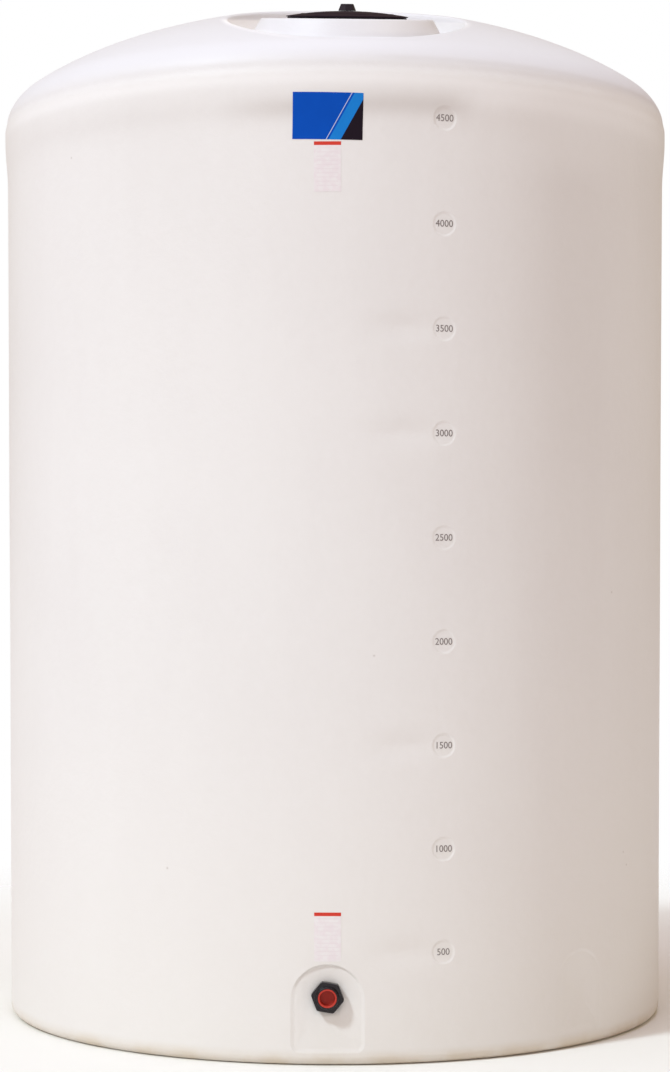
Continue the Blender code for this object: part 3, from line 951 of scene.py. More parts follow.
@dataclass(frozen=True)
class ArchRecess(Recess):
    """The round-topped flat for a fitting. Its middle lies halfway up."""

    half_width: float = 0.129
    half_height: float = 0.1545
    corner_r: float = 0.030
    depth: float = 0.0125
    slope: tuple[float, float] = (-0.0068, 0.0030)
    edge_share: float = 0.72
    floor_shares: tuple[float, ...] = (0.09, 0.18, 0.27, 0.36, 0.45, 0.54, 0.63, 0.72)
    faint: float = 0.70
    blurred: float = 2.0

    @staticmethod
    def _below(angles: np.ndarray) -> np.ndarray:
        """Return 0 at the round top and 1 at the sides and the foot."""
        share = np.clip((0.77 - np.sin(angles)) / 0.35, 0, 1)
        return share * share * (3 - 2 * share)

    def edge(self, angles: np.ndarray) -> np.ndarray:
        """Return how far the surface has gone down just inside the outline, which is less below the top."""
        return self.edge_share * (1 + (self.faint - 1) * self._below(angles))

    def reach(self, angles: np.ndarray, grow: float) -> np.ndarray:
        """Return how far the outline is from the middle. Below the top, what lies inside it is spread out."""
        below = self._below(angles) if grow < 0 else 0.0
        return self._outline(angles, grow) * (1 - below) + self._outline(angles, grow * self.blurred) * below

    def _outline(self, angles: np.ndarray, grow: float) -> np.ndarray:
        """Return how far the outline is from the middle, grown on all sides.

        Args:
            angles: The angles, counted from the right.
            grow: How far the outline is grown.

        Returns:
            The distances.
        """
        half, corner = self.half_width + grow, self.corner_r + grow
        top = self.half_height - self.half_width
        low = -self.half_height - grow
        corners = []
        for x, z, r, start, end in (
            (0.0, top, half, 0, 180), (corner - half, low + corner, corner, 180, 270),
            (half - corner, low + corner, corner, 270, 360),
        ):
            turn = np.radians(np.linspace(start, end, 61))
            corners.append(np.stack([x + r * np.cos(turn), z + r * np.sin(turn)], 1))
        line = np.concatenate([*corners, corners[0][:1]])
        points = resample(line, 1200)[:-1]
        around = np.mod(np.arctan2(points[:, 1], points[:, 0]), 2 * pi)
        order = np.argsort(around)
        return np.interp(np.mod(angles, 2 * pi), around[order], np.hypot(*points.T)[order], period=2 * pi)


@dataclass
class TankMoulding:
    """The tank itself, one seamless moulding with an outer and an inner skin."""

    bender: Bender
    wall: float = 0.011
    column_step: float = 1.7
    row_step: float = 0.045
    fine_step: float = 0.0105
    mark_azimuth: float = 18.33
    mark_first: float = 0.393
    mark_pitch: float = 0.36474
    mark_count: int = 9
    mark_half_angle: float = 2.8
    mark_half_height: float = 0.063
    window_margins: tuple[float, ...] = (0.0050, 0.0020)
    slope_shares: tuple[float, ...] = (0, 0.17, 0.33, 0.5, 0.67, 0.83, 1.0)
    floor_margin: float = 0.003
    flat_azimuths: tuple[float, float] = (0.0, 45.0)
    flat_half_angle: float = 6.8
    flat_low: float = 0.037
    flat_middle: float = 0.2025
    outlet_z: float = 0.2435
    outlet_hole_r: float = 0.0386
    mouth_r: float = 0.206
    collar_top_r: float = 0.3125
    collar_foot_r: float = 0.349
    collar_height: float = 0.062
    well_r: float = 0.4215
    well_draft: float = 8.0
    rim_r: float = 0.475
    rim_front_r: float = 0.425
    softening: float = 0.0042
    rim_softening: float = 0.013
    rim_reach: float = 0.030
    line_points: int = 500
    roof_rings: tuple[int, int] = (40, 15)
    crown_density: float = 16.0
    shoulder_density: float = 64.0
    shoulder_reach: float = 1.05
    shoulder_blend: float = 0.02
    manway_rows: tuple[int, int] = (46, 18)
    wave: float = 0.0016
    swells: tuple[tuple[float, float, float, float], ...] = (
        (5, 1.9, 0.4, 1.0), (8, -3.1, 2.1, 0.8), (3, 5.3, 4.0, 0.6), (13, 2.3, 1.0, 0.5))
    steady_half_angle: float = 0.20
    sheet: Sheet = field(default_factory=Sheet)

    @property
    def mark_heights(self) -> list[float]:
        """The heights of the volume marks."""
        return [self.mark_first + n * self.mark_pitch for n in range(self.mark_count)]

    @cached_property
    def columns(self) -> np.ndarray:
        """The azimuths of the grid's columns in radians, with lines on both sides of each recess."""
        sides = [(self.mark_azimuth, self.mark_half_angle)]
        sides += [(azimuth, self.flat_half_angle) for azimuth in self.flat_azimuths]
        stops = sorted([-180.0, 180.0] + [a + s * half for a, half in sides for s in (-1, 1)])
        return np.radians(subdivide(stops, self.column_step)[:-1])

    @cached_property
    def wall_heights(self) -> np.ndarray:
        """The heights of the grid's rows on the wall, with lines above and below each recess."""
        stops = [self.flat_low]
        for height in self.mark_heights:
            stops += [height - self.mark_half_height, height + self.mark_half_height]
        fine = subdivide([stops[-1], SECTION.spring], self.fine_step)
        return np.concatenate([subdivide(stops, self.row_step), fine[1:]])

    def waves(self, azimuth: np.ndarray, length: np.ndarray) -> np.ndarray:
        """Return how far the moulded wall bows in, which it does least near the label and the base.

        Each swell has its number round the tank, its number along the section, its phase and its strength.

        Args:
            azimuth: Azimuths in radians.
            length: Lengths along the section.

        Returns:
            The heights of the wall over a plain one, none of which is above 0.
        """
        swells = sum(
            strength * np.sin(around * azimuth + along * length + phase)
            for around, along, phase, strength in self.swells)
        most = sum(strength for _, _, _, strength in self.swells)
        steady = 1 - np.exp(-((azimuth / self.steady_half_angle) ** 2))
        start, end = SECTION.length_at_height(0.10), SECTION.length_at_height(SECTION.swell_end)
        rise = np.clip((length - start) / 0.4, 0, 1) * np.clip((end - length) / 0.3, 0, 1)
        return -self.wave * (0.5 + 0.5 * swells / most) * steady * rise

    def _wall_ring(self, length: float, inset: float) -> list[int]:
        """Add a ring of the wall or the base, at a length along the section."""
        azimuth = self.columns
        lengths = np.full(len(azimuth), length)
        return self.sheet.ring(np.stack([azimuth, lengths, self.waves(azimuth, lengths) - inset], 1))

    def _column(self, azimuth: float) -> int:
        """Return the number of the column at an azimuth in degrees."""
        return int(np.argmin(np.abs(self.columns - radians(azimuth))))

    def _recess(
        self, rings: list[list[int]], rows: tuple[int, int], half_angle: float, recess: Recess, inset: float,
    ) -> tuple[set[tuple[int, int]], list[int]]:
        """Sink a recess into a window of the grid.

        Args:
            rings: The rings of the grid, in the order in which they are bridged.
            rows: The numbers of the window's first and last ring.
            half_angle: Half of the window's width in degrees.
            recess: The shape that is sunk.
            inset: How far this skin lies inside the outer one.

        Returns:
            The window's cells, as ring and column, and the last ring of the recess.
        """
        left = self._column(recess.azimuth - half_angle)
        right = self._column(recess.azimuth + half_angle)
        ring = border(rings, rows, (left, right))
        corners = np.array([self.sheet.points[point] for point in ring])[:, :2] - recess.middle
        angles = np.unwrap(np.arctan2(corners[:, 1], corners[:, 0] * SECTION.radius))
        low, high = recess.slope
        grown = [inset + high + margin for margin in self.window_margins]
        grown += [inset + high - (high - low) * share for share in self.slope_shares]
        grown.append(inset + low - self.floor_margin)
        for number, grow in enumerate(grown):
            doubled = number < len(self.window_margins)
            if doubled:
                after = np.append(angles[1:], angles[0] + np.sign(angles[1] - angles[0]) * 2 * pi)
                angles = np.stack([angles, (angles + after) / 2], 1).ravel()
            reach = recess.reach(angles, grow)
            across, up = reach * np.cos(angles), reach * np.sin(angles)
            next_ring = self._sunk_ring(across, up, recess, recess.sunk(grow - inset, angles), inset)
            if doubled:
                self.sheet.double(ring, next_ring)
            else:
                self.sheet.bridge(ring, next_ring)
            ring = next_ring
        cells = {(i, j) for i in range(*rows) for j in range(left, right)}
        return cells, self._floor_of(ring, recess, inset)

    def _sunk_ring(
        self, across: np.ndarray, up: np.ndarray, recess: Recess, sunk: np.ndarray, inset: float,
    ) -> list[int]:
        """Add a ring of a recess.

        Args:
            across: The ring's distances from the recess's middle, round the tank.
            up: Its distances from there along the section.
            recess: The recess.
            sunk: How far the surface has gone down to the floor, from 0 to 1.
            inset: How far this skin lies inside the outer one.

        Returns:
            The ring.
        """
        azimuth = recess.middle[0] + across / SECTION.radius
        length = recess.middle[1] + up
        height = (1 - sunk) * (self.waves(azimuth, length) - inset) + sunk * recess.floor(across, inset)
        return self.sheet.ring(np.stack([azimuth, length, height], 1))

    def _floor_of(self, ring: list[int], recess: Recess, inset: float) -> list[int]:
        """Fill the floor of a recess inwards from a ring, up to the outlet's hole or its middle.

        Args:
            ring: The outermost ring of the floor.
            recess: The recess.
            inset: How far this skin lies inside the outer one.

        Returns:
            The last ring.
        """
        points = np.array([self.sheet.points[point] for point in ring])[:, :2] - recess.middle
        across, up = points[:, 0] * SECTION.radius, points[:, 1]
        angles = np.arctan2(up, across)
        target = np.zeros((len(ring), 2))
        if recess.pierced:
            target = self.outlet_hole_r * np.stack([np.cos(angles), np.sin(angles)], 1)
            target[:, 1] += self.outlet_z - recess.height
        for share in (*recess.floor_shares, 1.0) if recess.pierced else recess.floor_shares:
            next_ring = self._sunk_ring(
                across + (target[:, 0] - across) * share, up + (target[:, 1] - up) * share,
                recess, recess.dished(share, angles), inset)
            self.sheet.bridge(ring, next_ring)
            ring = next_ring
        if not recess.pierced:
            self.sheet.cap(ring, (*recess.middle, recess.floor(np.zeros(1), inset)[0]))
        return ring

    @property
    def flats(self) -> list[ArchRecess]:
        """The flats for fittings."""
        front, side = self.flat_azimuths
        faint = ArchRecess(side, self.flat_middle, slope=(-0.0110, 0.0045), edge_share=0.30)
        return [ArchRecess(front, self.flat_middle, pierced=True), faint]

    @property
    def marks(self) -> list[RoundRecess]:
        """The pockets of the volume marks."""
        return [RoundRecess(self.mark_azimuth, height) for height in self.mark_heights]

    def _outer_wall(self) -> tuple[list[int], list[int]]:
        """Lay out the base and the wall, with their recesses.

        Returns:
            The top ring and the ring of the outlet's hole.
        """
        foot = SECTION.radius - SECTION.knuckle_r
        lengths = list(subdivide([0.05, foot], 0.19))
        lengths += list(np.linspace(foot, foot + SECTION.knuckle_r * pi / 2, 9))[1:]
        before = len(lengths)
        lengths += list(SECTION.length_at_height(self.wall_heights))
        rings = [self._wall_ring(length, 0.0) for length in lengths]
        self.sheet.cap(rings[0], (0.0, 0.0, 0.0), first=True)
        cells: set[tuple[int, int]] = set()
        hole: list[int] = []
        mark_row = before + int(np.argmin(np.abs(self.wall_heights - self.mark_first)))
        for flat in self.flats:
            found, ring = self._recess(rings, (before, mark_row), self.flat_half_angle, flat, 0.0)
            cells |= found
            hole = ring if flat.pierced else hole
        for mark in self.marks:
            low = before + int(np.argmin(np.abs(self.wall_heights - mark.height + self.mark_half_height)))
            window = (low, low + WINDOW_PARTS)
            cells |= self._recess(rings, window, self.mark_half_angle, mark, 0.0)[0]
        self._bridge_rows(rings, cells)
        return rings[-1], hole

    def _bridge_rows(self, rings: list[list[int]], cells: set[tuple[int, int]]) -> None:
        """Join the rings of the grid, apart from the cells of its windows."""
        for i in range(len(rings) - 1):
            self.sheet.bridge(rings[i], rings[i + 1], [j for row, j in cells if row == i])

    def _inner_wall(self, top: list[int], hole: list[int]) -> None:
        """Lay out the inner skin of the wall and the floor, from a ring at the spring of the roof down.

        Args:
            top: The ring that it starts from.
            hole: The outer ring of the outlet's hole.
        """
        heights = [z for z in self.wall_heights if z <= self.mark_first + 0.001]
        heights += list(np.linspace(self.mark_first, SECTION.swell_start, 12)[1:])
        lengths = list(SECTION.length_at_height(np.array(heights)))
        foot = SECTION.radius - SECTION.knuckle_r
        lengths += list(np.linspace(foot, foot + SECTION.knuckle_r * pi / 2, 6))[:-1]
        lengths += [0.8, 0.3, 0.05]
        lengths.sort(reverse=True)
        rings = [top] + [self._wall_ring(length, self.wall) for length in lengths]
        ends = [SECTION.length_at_height(z) for z in (heights[heights.index(self.flat_low)], self.mark_first)]
        low, high = (1 + int(np.argmin(np.abs(np.array(lengths) - end))) for end in ends)
        cells: set[tuple[int, int]] = set()
        for flat in self.flats:
            found, ring = self._recess(rings, (high, low), self.flat_half_angle, flat, self.wall)
            cells |= found
            if flat.pierced:
                self._line_hole(hole, ring)
        self._bridge_rows(rings, cells)
        self.sheet.cap(rings[-1], (0.0, 0.0, -self.wall))

    def _line_hole(self, outer: list[int], inner: list[int]) -> None:
        """Line the outlet's hole through the wall.

        Args:
            outer: The hole's ring in the outer skin.
            inner: Its ring in the inner skin, which runs the other way round.
        """
        points = np.array([self.sheet.points[point] for point in inner])
        start = np.array(self.sheet.points[outer[0]])
        nearest = int(np.argmin(np.hypot(*(points - start)[:, :2].T)))
        count = len(inner)
        self.sheet.bridge(outer, [inner[(nearest - k) % count] for k in range(count)])

    def _dome_height(self, rho: np.ndarray, theta: float) -> np.ndarray:
        """Return the height of the roof over the manway's frame, along the frame's axis.

        Args:
            rho: Distances from that axis.
            theta: Their direction in the manway's frame, from its front.

        Returns:
            The heights.
        """
        height = np.zeros_like(rho)
        for _ in range(14):
            flat = np.stack([rho * sin(theta), -rho * cos(theta), height], 1)
            point = MANWAY.out(flat)
            off = SECTION.roof_height(np.hypot(point[:, 0], point[:, 1])) - point[:, 2]
            height = height + off / cos(radians(MANWAY.tilt))
        return height

    def _manway_line(self, theta: float, inset: float, rows: int) -> np.ndarray:
        """Return the section of the manway and its well in one direction.

        Args:
            theta: The direction in the manway's frame, from its front.
            inset: How far the skin lies inside the outer one.
            rows: How many points are kept, closer together where the section bends.

        Returns:
            Points of distance and height in the manway's frame, from the mouth outwards.
        """
        front = ((1 + cos(theta)) / 2) ** 12
        end = self.rim_r + (self.rim_front_r - self.rim_r) * front
        rho = np.linspace(self.mouth_r, end, 3 * self.line_points)
        slope = self.collar_height / (self.collar_foot_r - self.collar_top_r)
        collar = np.minimum(0.0, (self.collar_top_r - rho) * slope)
        side = (rho - self.well_r) / tan(radians(self.well_draft))
        well = np.maximum(0.0, side) - self.collar_height
        dome = self._dome_height(rho, theta)
        edge = float(rho[np.argmax(well > dome)]) if np.any(well > dome) else float(rho[-1])
        line = np.stack([rho, np.maximum(collar, np.minimum(well, dome))], 1)
        line = resample(line, self.line_points)
        near = (1 - front) * np.exp(-(((line[:, 0] - edge) / self.rim_reach) ** 4))[:, None]
        line = soften(line, self.softening) * (1 - near) + soften(line, self.rim_softening) * near
        if inset:
            line = soften(offset_line(line, inset), self.softening * 1.6)
            line[0] = (self.mouth_r, -inset)
        return bend_rows(line, rows)

    def _roof(self, outer: list[int]) -> list[int]:
        """Lay out the roof with its manway, outside and inside.

        Args:
            outer: The ring of the outer skin at the spring of the roof.

        Returns:
            The ring of the inner skin at the spring of the roof.
        """
        top = SECTION.lengths[-1]
        reach = top - SECTION.length_at_height(SECTION.spring)
        start = reach * np.stack([np.sin(self.columns), -np.cos(self.columns)], 1)
        away = top - SECTION.length_at_roof_radius(MANWAY.offset)
        angle = radians(MANWAY.azimuth)
        ways = start - away * np.array([sin(angle), -cos(angle)])
        thetas = np.arctan2(ways[:, 0], -ways[:, 1]) - angle
        outside, inside = (
            np.array([self._manway_line(theta, inset, rows) for theta in thetas])
            for inset, rows in zip((0.0, self.wall), self.manway_rows))
        rim = MANWAY.out(self._around(outside[:, -1], thetas))
        length = top - SECTION.length_at_roof_radius(np.hypot(rim[:, 0], rim[:, 1]))
        around = np.arctan2(rim[:, 0], -rim[:, 1])
        end = length[:, None] * np.stack([np.sin(around), -np.cos(around)], 1)
        ring = outer
        above, below = self.roof_rings
        for share in np.arange(1, above) / above:
            ring = self._next(ring, self._roof_ring(start, end, share, 0.0), False)
        for row in reversed(range(outside.shape[1])):
            ring = self._next(ring, self._around(outside[:, row], thetas), True)
        for row in range(inside.shape[1]):
            ring = self._next(ring, self._around(inside[:, row], thetas), True)
        for share in np.arange(below - 1, -1, -1) / below:
            ring = self._next(ring, self._roof_ring(start, end, share, self.wall), False)
        return ring

    def _next(self, ring: list[int], points: np.ndarray, placed: bool) -> list[int]:
        """Add a ring and bridge it to the one before."""
        made = self.sheet.ring(points, placed)
        self.sheet.bridge(ring, made)
        return made

    @staticmethod
    def _around(line: np.ndarray, thetas: np.ndarray) -> np.ndarray:
        """Return points of the manway's frame from distances and heights, one in each direction."""
        return np.stack([line[:, 0] * np.sin(thetas), -line[:, 0] * np.cos(thetas), line[:, 1]], 1)

    def _roof_ring(self, start: np.ndarray, end: np.ndarray, share: float, inset: float) -> np.ndarray:
        """Return a ring of the roof between the shoulder and the manway, closer together on the shoulder.

        Args:
            start: The columns' places at the spring of the roof, laid out flat round its top.
            end: Their places at the manway's rim.
            share: How far along the ring is.
            inset: How far this skin lies inside the outer one.

        Returns:
            The ring, as azimuth, length and height.
        """
        top = SECTION.lengths[-1]
        edge = SECTION.length_at_height(SECTION.spring) + self.shoulder_reach * SECTION.shoulder_r
        shares = np.linspace(0, 1, 300)
        paths = start[:, None] + (end - start)[:, None] * shares[None, :, None]
        lengths = top - np.hypot(paths[..., 0], paths[..., 1])
        on_shoulder = 1 / (1 + np.exp((lengths - edge) / self.shoulder_blend))
        steps = np.hypot(*np.moveaxis(np.diff(paths, axis=1), 2, 0))
        weights = steps * (self.crown_density + self.shoulder_density * on_shoulder[:, 1:])
        sums = np.concatenate([np.zeros((len(start), 1)), np.cumsum(weights, axis=1)], 1)
        kept = np.array([np.interp(share * total[-1], total, shares) for total in sums])
        points = start + (end - start) * kept[:, None]
        azimuth = np.arctan2(points[:, 0], -points[:, 1])
        return np.stack([azimuth, top - np.hypot(*points.T), np.full(len(points), -inset)], 1)

    def build(self) -> None:
        """Build the moulding and put it in place of the tank's plastic nodes."""
        spring, hole = self._outer_wall()
        inner = self._roof(spring)
        self._inner_wall(inner, hole)
        piece = self.bender.bend("tank_moulding", self.sheet.mesh("tank_moulding"), SHELL_FINISH)
        piece.data.attributes.remove(piece.data.attributes[Bender.PLACED])
        nodes = ["tank_floor", "roof_crown", "manway_well", "manway_collar"]
        nodes += [f"wall_segment_{n:02d}" for n in range(16)] + [f"roof_segment_{n}" for n in range(8)]
        settle(piece, Body.TANK, nodes)


def border(grid: Sequence[Sequence], rows: tuple[int, int], columns: tuple[int, int]) -> list:
    """Return what lies round a window of a grid, once round from its first corner.

    Args:
        grid: The grid, row by row.
        rows: The window's first and last row.
        columns: Its first and last column.

    Returns:
        The grid's items along the window's edge.
    """
    (first, last), (left, right) = rows, columns
    around = [grid[first][j] for j in range(left, right)] + [grid[i][right] for i in range(first, last)]
    around += [grid[last][j] for j in range(right, left, -1)]
    return around + [grid[i][left] for i in range(last, first, -1)]


def subdivide(stops: Sequence[float], step: float) -> np.ndarray:
    """Return the stops and even divisions between them, about a step apart.

    A stretch of about three steps is the window of a volume mark, which has its own number of parts.

    Args:
        stops: The stops, in order.
        step: The step.

    Returns:
        All the values.
    """
    values = [stops[0]]
    for low, high in zip(stops, stops[1:]):
        window = step * 2.6 < high - low < step * 3.6
        count = WINDOW_PARTS if window else max(1, round((high - low) / step))
        values += [low + (high - low) * k / count for k in range(1, count + 1)]
    return np.array(values)


def resample(line: np.ndarray, count: int) -> np.ndarray:
    """Return a line with evenly spaced points."""
    lengths = np.concatenate([[0.0], np.cumsum(np.hypot(*np.diff(line, axis=0).T))])
    places = np.linspace(0, lengths[-1], count)
    return np.stack([np.interp(places, lengths, line[:, k]) for k in (0, 1)], 1)


def soften(line: np.ndarray, width: float) -> np.ndarray:
    """Round the corners of an evenly spaced line, with its ends kept in place.

    Args:
        line: The line.
        width: The standard deviation of the weights that average it.

    Returns:
        The softened line.
    """
    step = float(np.hypot(*(line[1] - line[0])))
    half = int(4 * width / step) + 1
    kernel = np.exp(-0.5 * (np.arange(-half, half + 1) * step / width) ** 2)
    kernel /= kernel.sum()
    before = 2 * line[0] - line[half:0:-1]
    after = 2 * line[-1] - line[-2:-half - 2:-1]
    padded = np.concatenate([before, line, after])
    return np.stack([np.convolve(padded[:, k], kernel, "valid") for k in (0, 1)], 1)


def offset_line(line: np.ndarray, inset: float) -> np.ndarray:
    """Return an evenly spaced line moved below itself, spaced evenly again."""
    way = np.gradient(line, axis=0)
    way /= np.hypot(*way.T)[:, None]
    return resample(line - inset * np.stack([-way[:, 1], way[:, 0]], 1), len(line))


def bend_rows(line: np.ndarray, rows: int, stretch: float = 0.018, bend: float = 9.0) -> np.ndarray:
    """Keep some points of an evenly spaced line, closer together where it bends.

    Args:
        line: The line.
        rows: How many points are kept.
        stretch: The length in metres that weighs as much as one bend.
        bend: That bend in degrees.

    Returns:
        The points that are kept.
    """
    way = np.gradient(line, axis=0)
    turn = np.abs(np.gradient(np.unwrap(np.arctan2(way[:, 1], way[:, 0]))))
    step = float(np.hypot(*(line[1] - line[0])))
    weights = np.cumsum(step / stretch + turn / radians(bend))
    weights -= weights[0]
    places = np.interp(np.linspace(0, weights[-1], rows), weights, np.arange(len(line)))
    return np.stack([np.interp(places, np.arange(len(line)), line[:, k]) for k in (0, 1)], 1)


def settle(piece: bpy.types.Object, body: Body, nodes: Sequence[str] = ()) -> None:
    """Let a finished piece ride on its body and stand for its nodes.

    Args:
        piece: The piece, as a plain mesh.
        body: The body that it moves with.
        nodes: The nodes that it stands for.
    """
    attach(piece, body.value)
    if nodes:
        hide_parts(*nodes)
    LOG.info("%s: %d faces, on %s", piece.name, len(piece.data.polygons), body.value)


def loft(name: str, loops: Sequence[np.ndarray], finish: Finish, matrix: Matrix,
         ring: bool = False, angle: float = 40.0) -> bpy.types.Object:
    """Skin a row of loops as a closed piece and put it in its place.

    Args:
        name: The piece's name.
        loops: Loops of as many points, the ends closed to their middles unless they are a ring.
        finish: The finish of its surface.
        matrix: The matrix from the loops' frame to the tank's.
        ring: Whether the last loop joins the first.
        angle: The angle in degrees over which an edge is sharp.

    Returns:
        The piece.
    """
    sheet = Sheet()
    rings = [sheet.ring(loop) for loop in loops]
    for near, far in zip(rings, rings[1:] + rings[:1] if ring else rings[1:]):
        sheet.bridge(near, far)
    if not ring:
        sheet.cap(rings[0], tuple(np.mean(loops[0], axis=0)), first=True)
        sheet.cap(rings[-1], tuple(np.mean(loops[-1], axis=0)))
    return closed_piece(name, sheet.mesh(name), finish, matrix, angle)


def closed_piece(name: str, mesh: bpy.types.Mesh, finish: Finish, matrix: Matrix,
                 angle: float = 40.0) -> bpy.types.Object:
    """Finish a closed mesh: doubles merged, faces outwards, smooth, placed and dressed.

    Args:
        name: The piece's name.
        mesh: The mesh, in its own frame.
        finish: The finish of its surface.
        matrix: The matrix from that frame to the tank's.
        angle: The angle in degrees over which an edge is sharp.

    Returns:
        The piece.
    """
    work = bmesh.new()
    work.from_mesh(mesh)
    bmesh.ops.remove_doubles(work, verts=work.verts, dist=0.000005)
    bmesh.ops.recalc_face_normals(work, faces=work.faces)
    work.to_mesh(mesh)
    work.free()
    if Bender.PLACED in mesh.attributes:
        mesh.attributes.remove(mesh.attributes[Bender.PLACED])
    mesh.transform(matrix)
    mesh.materials.clear()
    mesh.materials.append(finish.material())
    mesh.shade_smooth()
    mesh.set_sharp_from_angle(angle=radians(angle))
    item = bpy.data.objects.get(name) or bpy.data.objects.new(name, mesh)
    item.data = mesh
    if not item.users_collection:
        bpy.context.scene.collection.objects.link(item)
    return item


def circle(radius: float, height: float, steps: int = 96) -> np.ndarray:
    """Return a level circle."""
    turn = 2 * pi * np.arange(steps) / steps
    return np.stack([radius * np.cos(turn), radius * np.sin(turn), np.full(steps, height)], 1)


def hexagon(flats: float, height: float, turn: float, corner_r: float, steps: int = 96) -> np.ndarray:
    """Return a level hexagon.

    Args:
        flats: Its width over its flats.
        height: Its height.
        turn: The direction of one corner in degrees.
        corner_r: The radius that its corners are turned down to.
        steps: How many points it has.

    Returns:
        Its points.
    """
    angles = 2 * pi * np.arange(steps) / steps
    local = np.mod(angles - radians(turn), pi / 3) - pi / 6
    straight = flats / 2 / np.cos(local)
    sharpness = 40
    reach = (straight**-sharpness + corner_r**-sharpness) ** (-1 / sharpness)
    return np.stack([reach * np.cos(angles), reach * np.sin(angles), np.full(steps, height)], 1)


def rounded(points: Sequence[tuple[float, float, float]], steps: int = 4) -> list[tuple[float, float]]:
    """Return a path with its corners rounded.

    Args:
        points: The path as (radius, height, corner radius). A corner radius of 0 keeps the corner.
        steps: How many stretches a rounded corner has.

    Returns:
        The path as points of radius and height.
    """
    path: list[tuple[float, float]] = []
    for n, (r, z, corner) in enumerate(points):
        if corner == 0 or n in (0, len(points) - 1):
            path.append((r, z))
            continue
        here = Vector((r, z))
        before = (Vector(points[n - 1][:2]) - here).normalized()
        after = (Vector(points[n + 1][:2]) - here).normalized()
        half = before.angle(after) / 2
        reach = corner / tan(half)
        middle = here + (before + after).normalized() * (corner / sin(half))
        start, end = here + before * reach - middle, here + after * reach - middle
        path += [tuple(middle + corner * start.slerp(end, k / steps)) for k in range(steps + 1)]
    return path


def turned(name: str, path: Sequence[tuple[float, float]], finish: Finish, matrix: Matrix,
           ring: bool = False, steps: int = 96) -> bpy.types.Object:
    """Turn a path of radius and height round its axis, as a closed piece."""
    return loft(name, [circle(max(r, 0.0001), z, steps) for r, z in path], finish, matrix, ring)


class NumberCutter(ShapeTree):
    """Geometry Nodes that write a number as raised figures on the floor of a pocket."""

    NAME = "raised_number"
    INPUTS = {
        "Number": "String", "Size": "Float", "Narrowing": "Float", "Raised": "Float", "Azimuth": "Float",
        "Length": "Float", "Floor Radius": "Float", "Tank Radius": "Float",
    }

    def shape(self, graph: Graph, inputs: dict[str, Signal]) -> Signal:
        """Add the nodes of the shape."""
        figures = graph.signal("GeometryNodeStringToCurves", {"align_x": "CENTER", "align_y": "MIDDLE"}, {
            "String": inputs["Number"], "Size": inputs["Size"]})
        figures = graph.signal("GeometryNodeRealizeInstances", {}, {"Geometry": figures})
        face = graph.signal("GeometryNodeFillCurve", {"mode": "TRIANGLES"}, {"Curve": figures})
        rise = graph.combine(0.0, 0.0, inputs["Raised"])
        raised = graph.signal("GeometryNodeExtrudeMesh", {"mode": "FACES"}, {
            "Mesh": face, "Offset": rise, "Offset Scale": 1.0, "Individual": False})
        back = graph.signal("GeometryNodeFlipFaces", {}, {"Mesh": face})
        joined = graph.node("GeometryNodeJoinGeometry", {}, {})
        graph.tree.links.new(raised.socket, joined.inputs[0])
        graph.tree.links.new(back.socket, joined.inputs[0])
        across, up, height = graph.signal("GeometryNodeInputPosition", {}, {}).parts()
        angle = across * inputs["Narrowing"] / inputs["Tank Radius"]
        floor = inputs["Floor Radius"] / angle.math("COSINE") - inputs["Tank Radius"]
        place = graph.combine(inputs["Azimuth"] + angle, inputs["Length"] + up, floor + height)
        return graph.signal("GeometryNodeSetPosition", {}, {
            "Geometry": Signal(graph, joined.outputs[0]), "Position": place})


@dataclass
class LevelNumbers:
    """The volumes in the round pockets, one for every 500 gallons."""

    bender: Bender
    moulding: TankMoulding
    step: int = 500
    size: float = 0.0337
    narrowing: float = 0.97
    raised: float = 0.0007
    sunk: float = 0.0001

    def build(self) -> None:
        """Build all the numbers as one piece."""
        cutter = NumberCutter()
        joined = bmesh.new()
        for n, mark in enumerate(self.moulding.marks):
            values = {
                "Number": str(self.step * (n + 1)), "Size": self.size, "Narrowing": self.narrowing,
                "Raised": self.raised, "Azimuth": radians(mark.azimuth),
                "Length": float(SECTION.length_at_height(mark.height)),
                "Floor Radius": SECTION.radius - mark.depth - self.sunk, "Tank Radius": SECTION.radius,
            }
            item = cutter.run(f"number_{n}", bpy.data.meshes.new("blank"), NUMBER_FINISH, values)
            joined.from_mesh(item.data)
            bpy.data.objects.remove(item)
        mesh = bpy.data.meshes.new("level_numbers")
        joined.to_mesh(mesh)
        joined.free()
        piece = self.bender.bend("level_numbers", mesh, NUMBER_FINISH)
        piece = closed_piece("level_numbers", piece.data, NUMBER_FINISH, Matrix.Identity(4))
        settle(piece, Body.TANK)


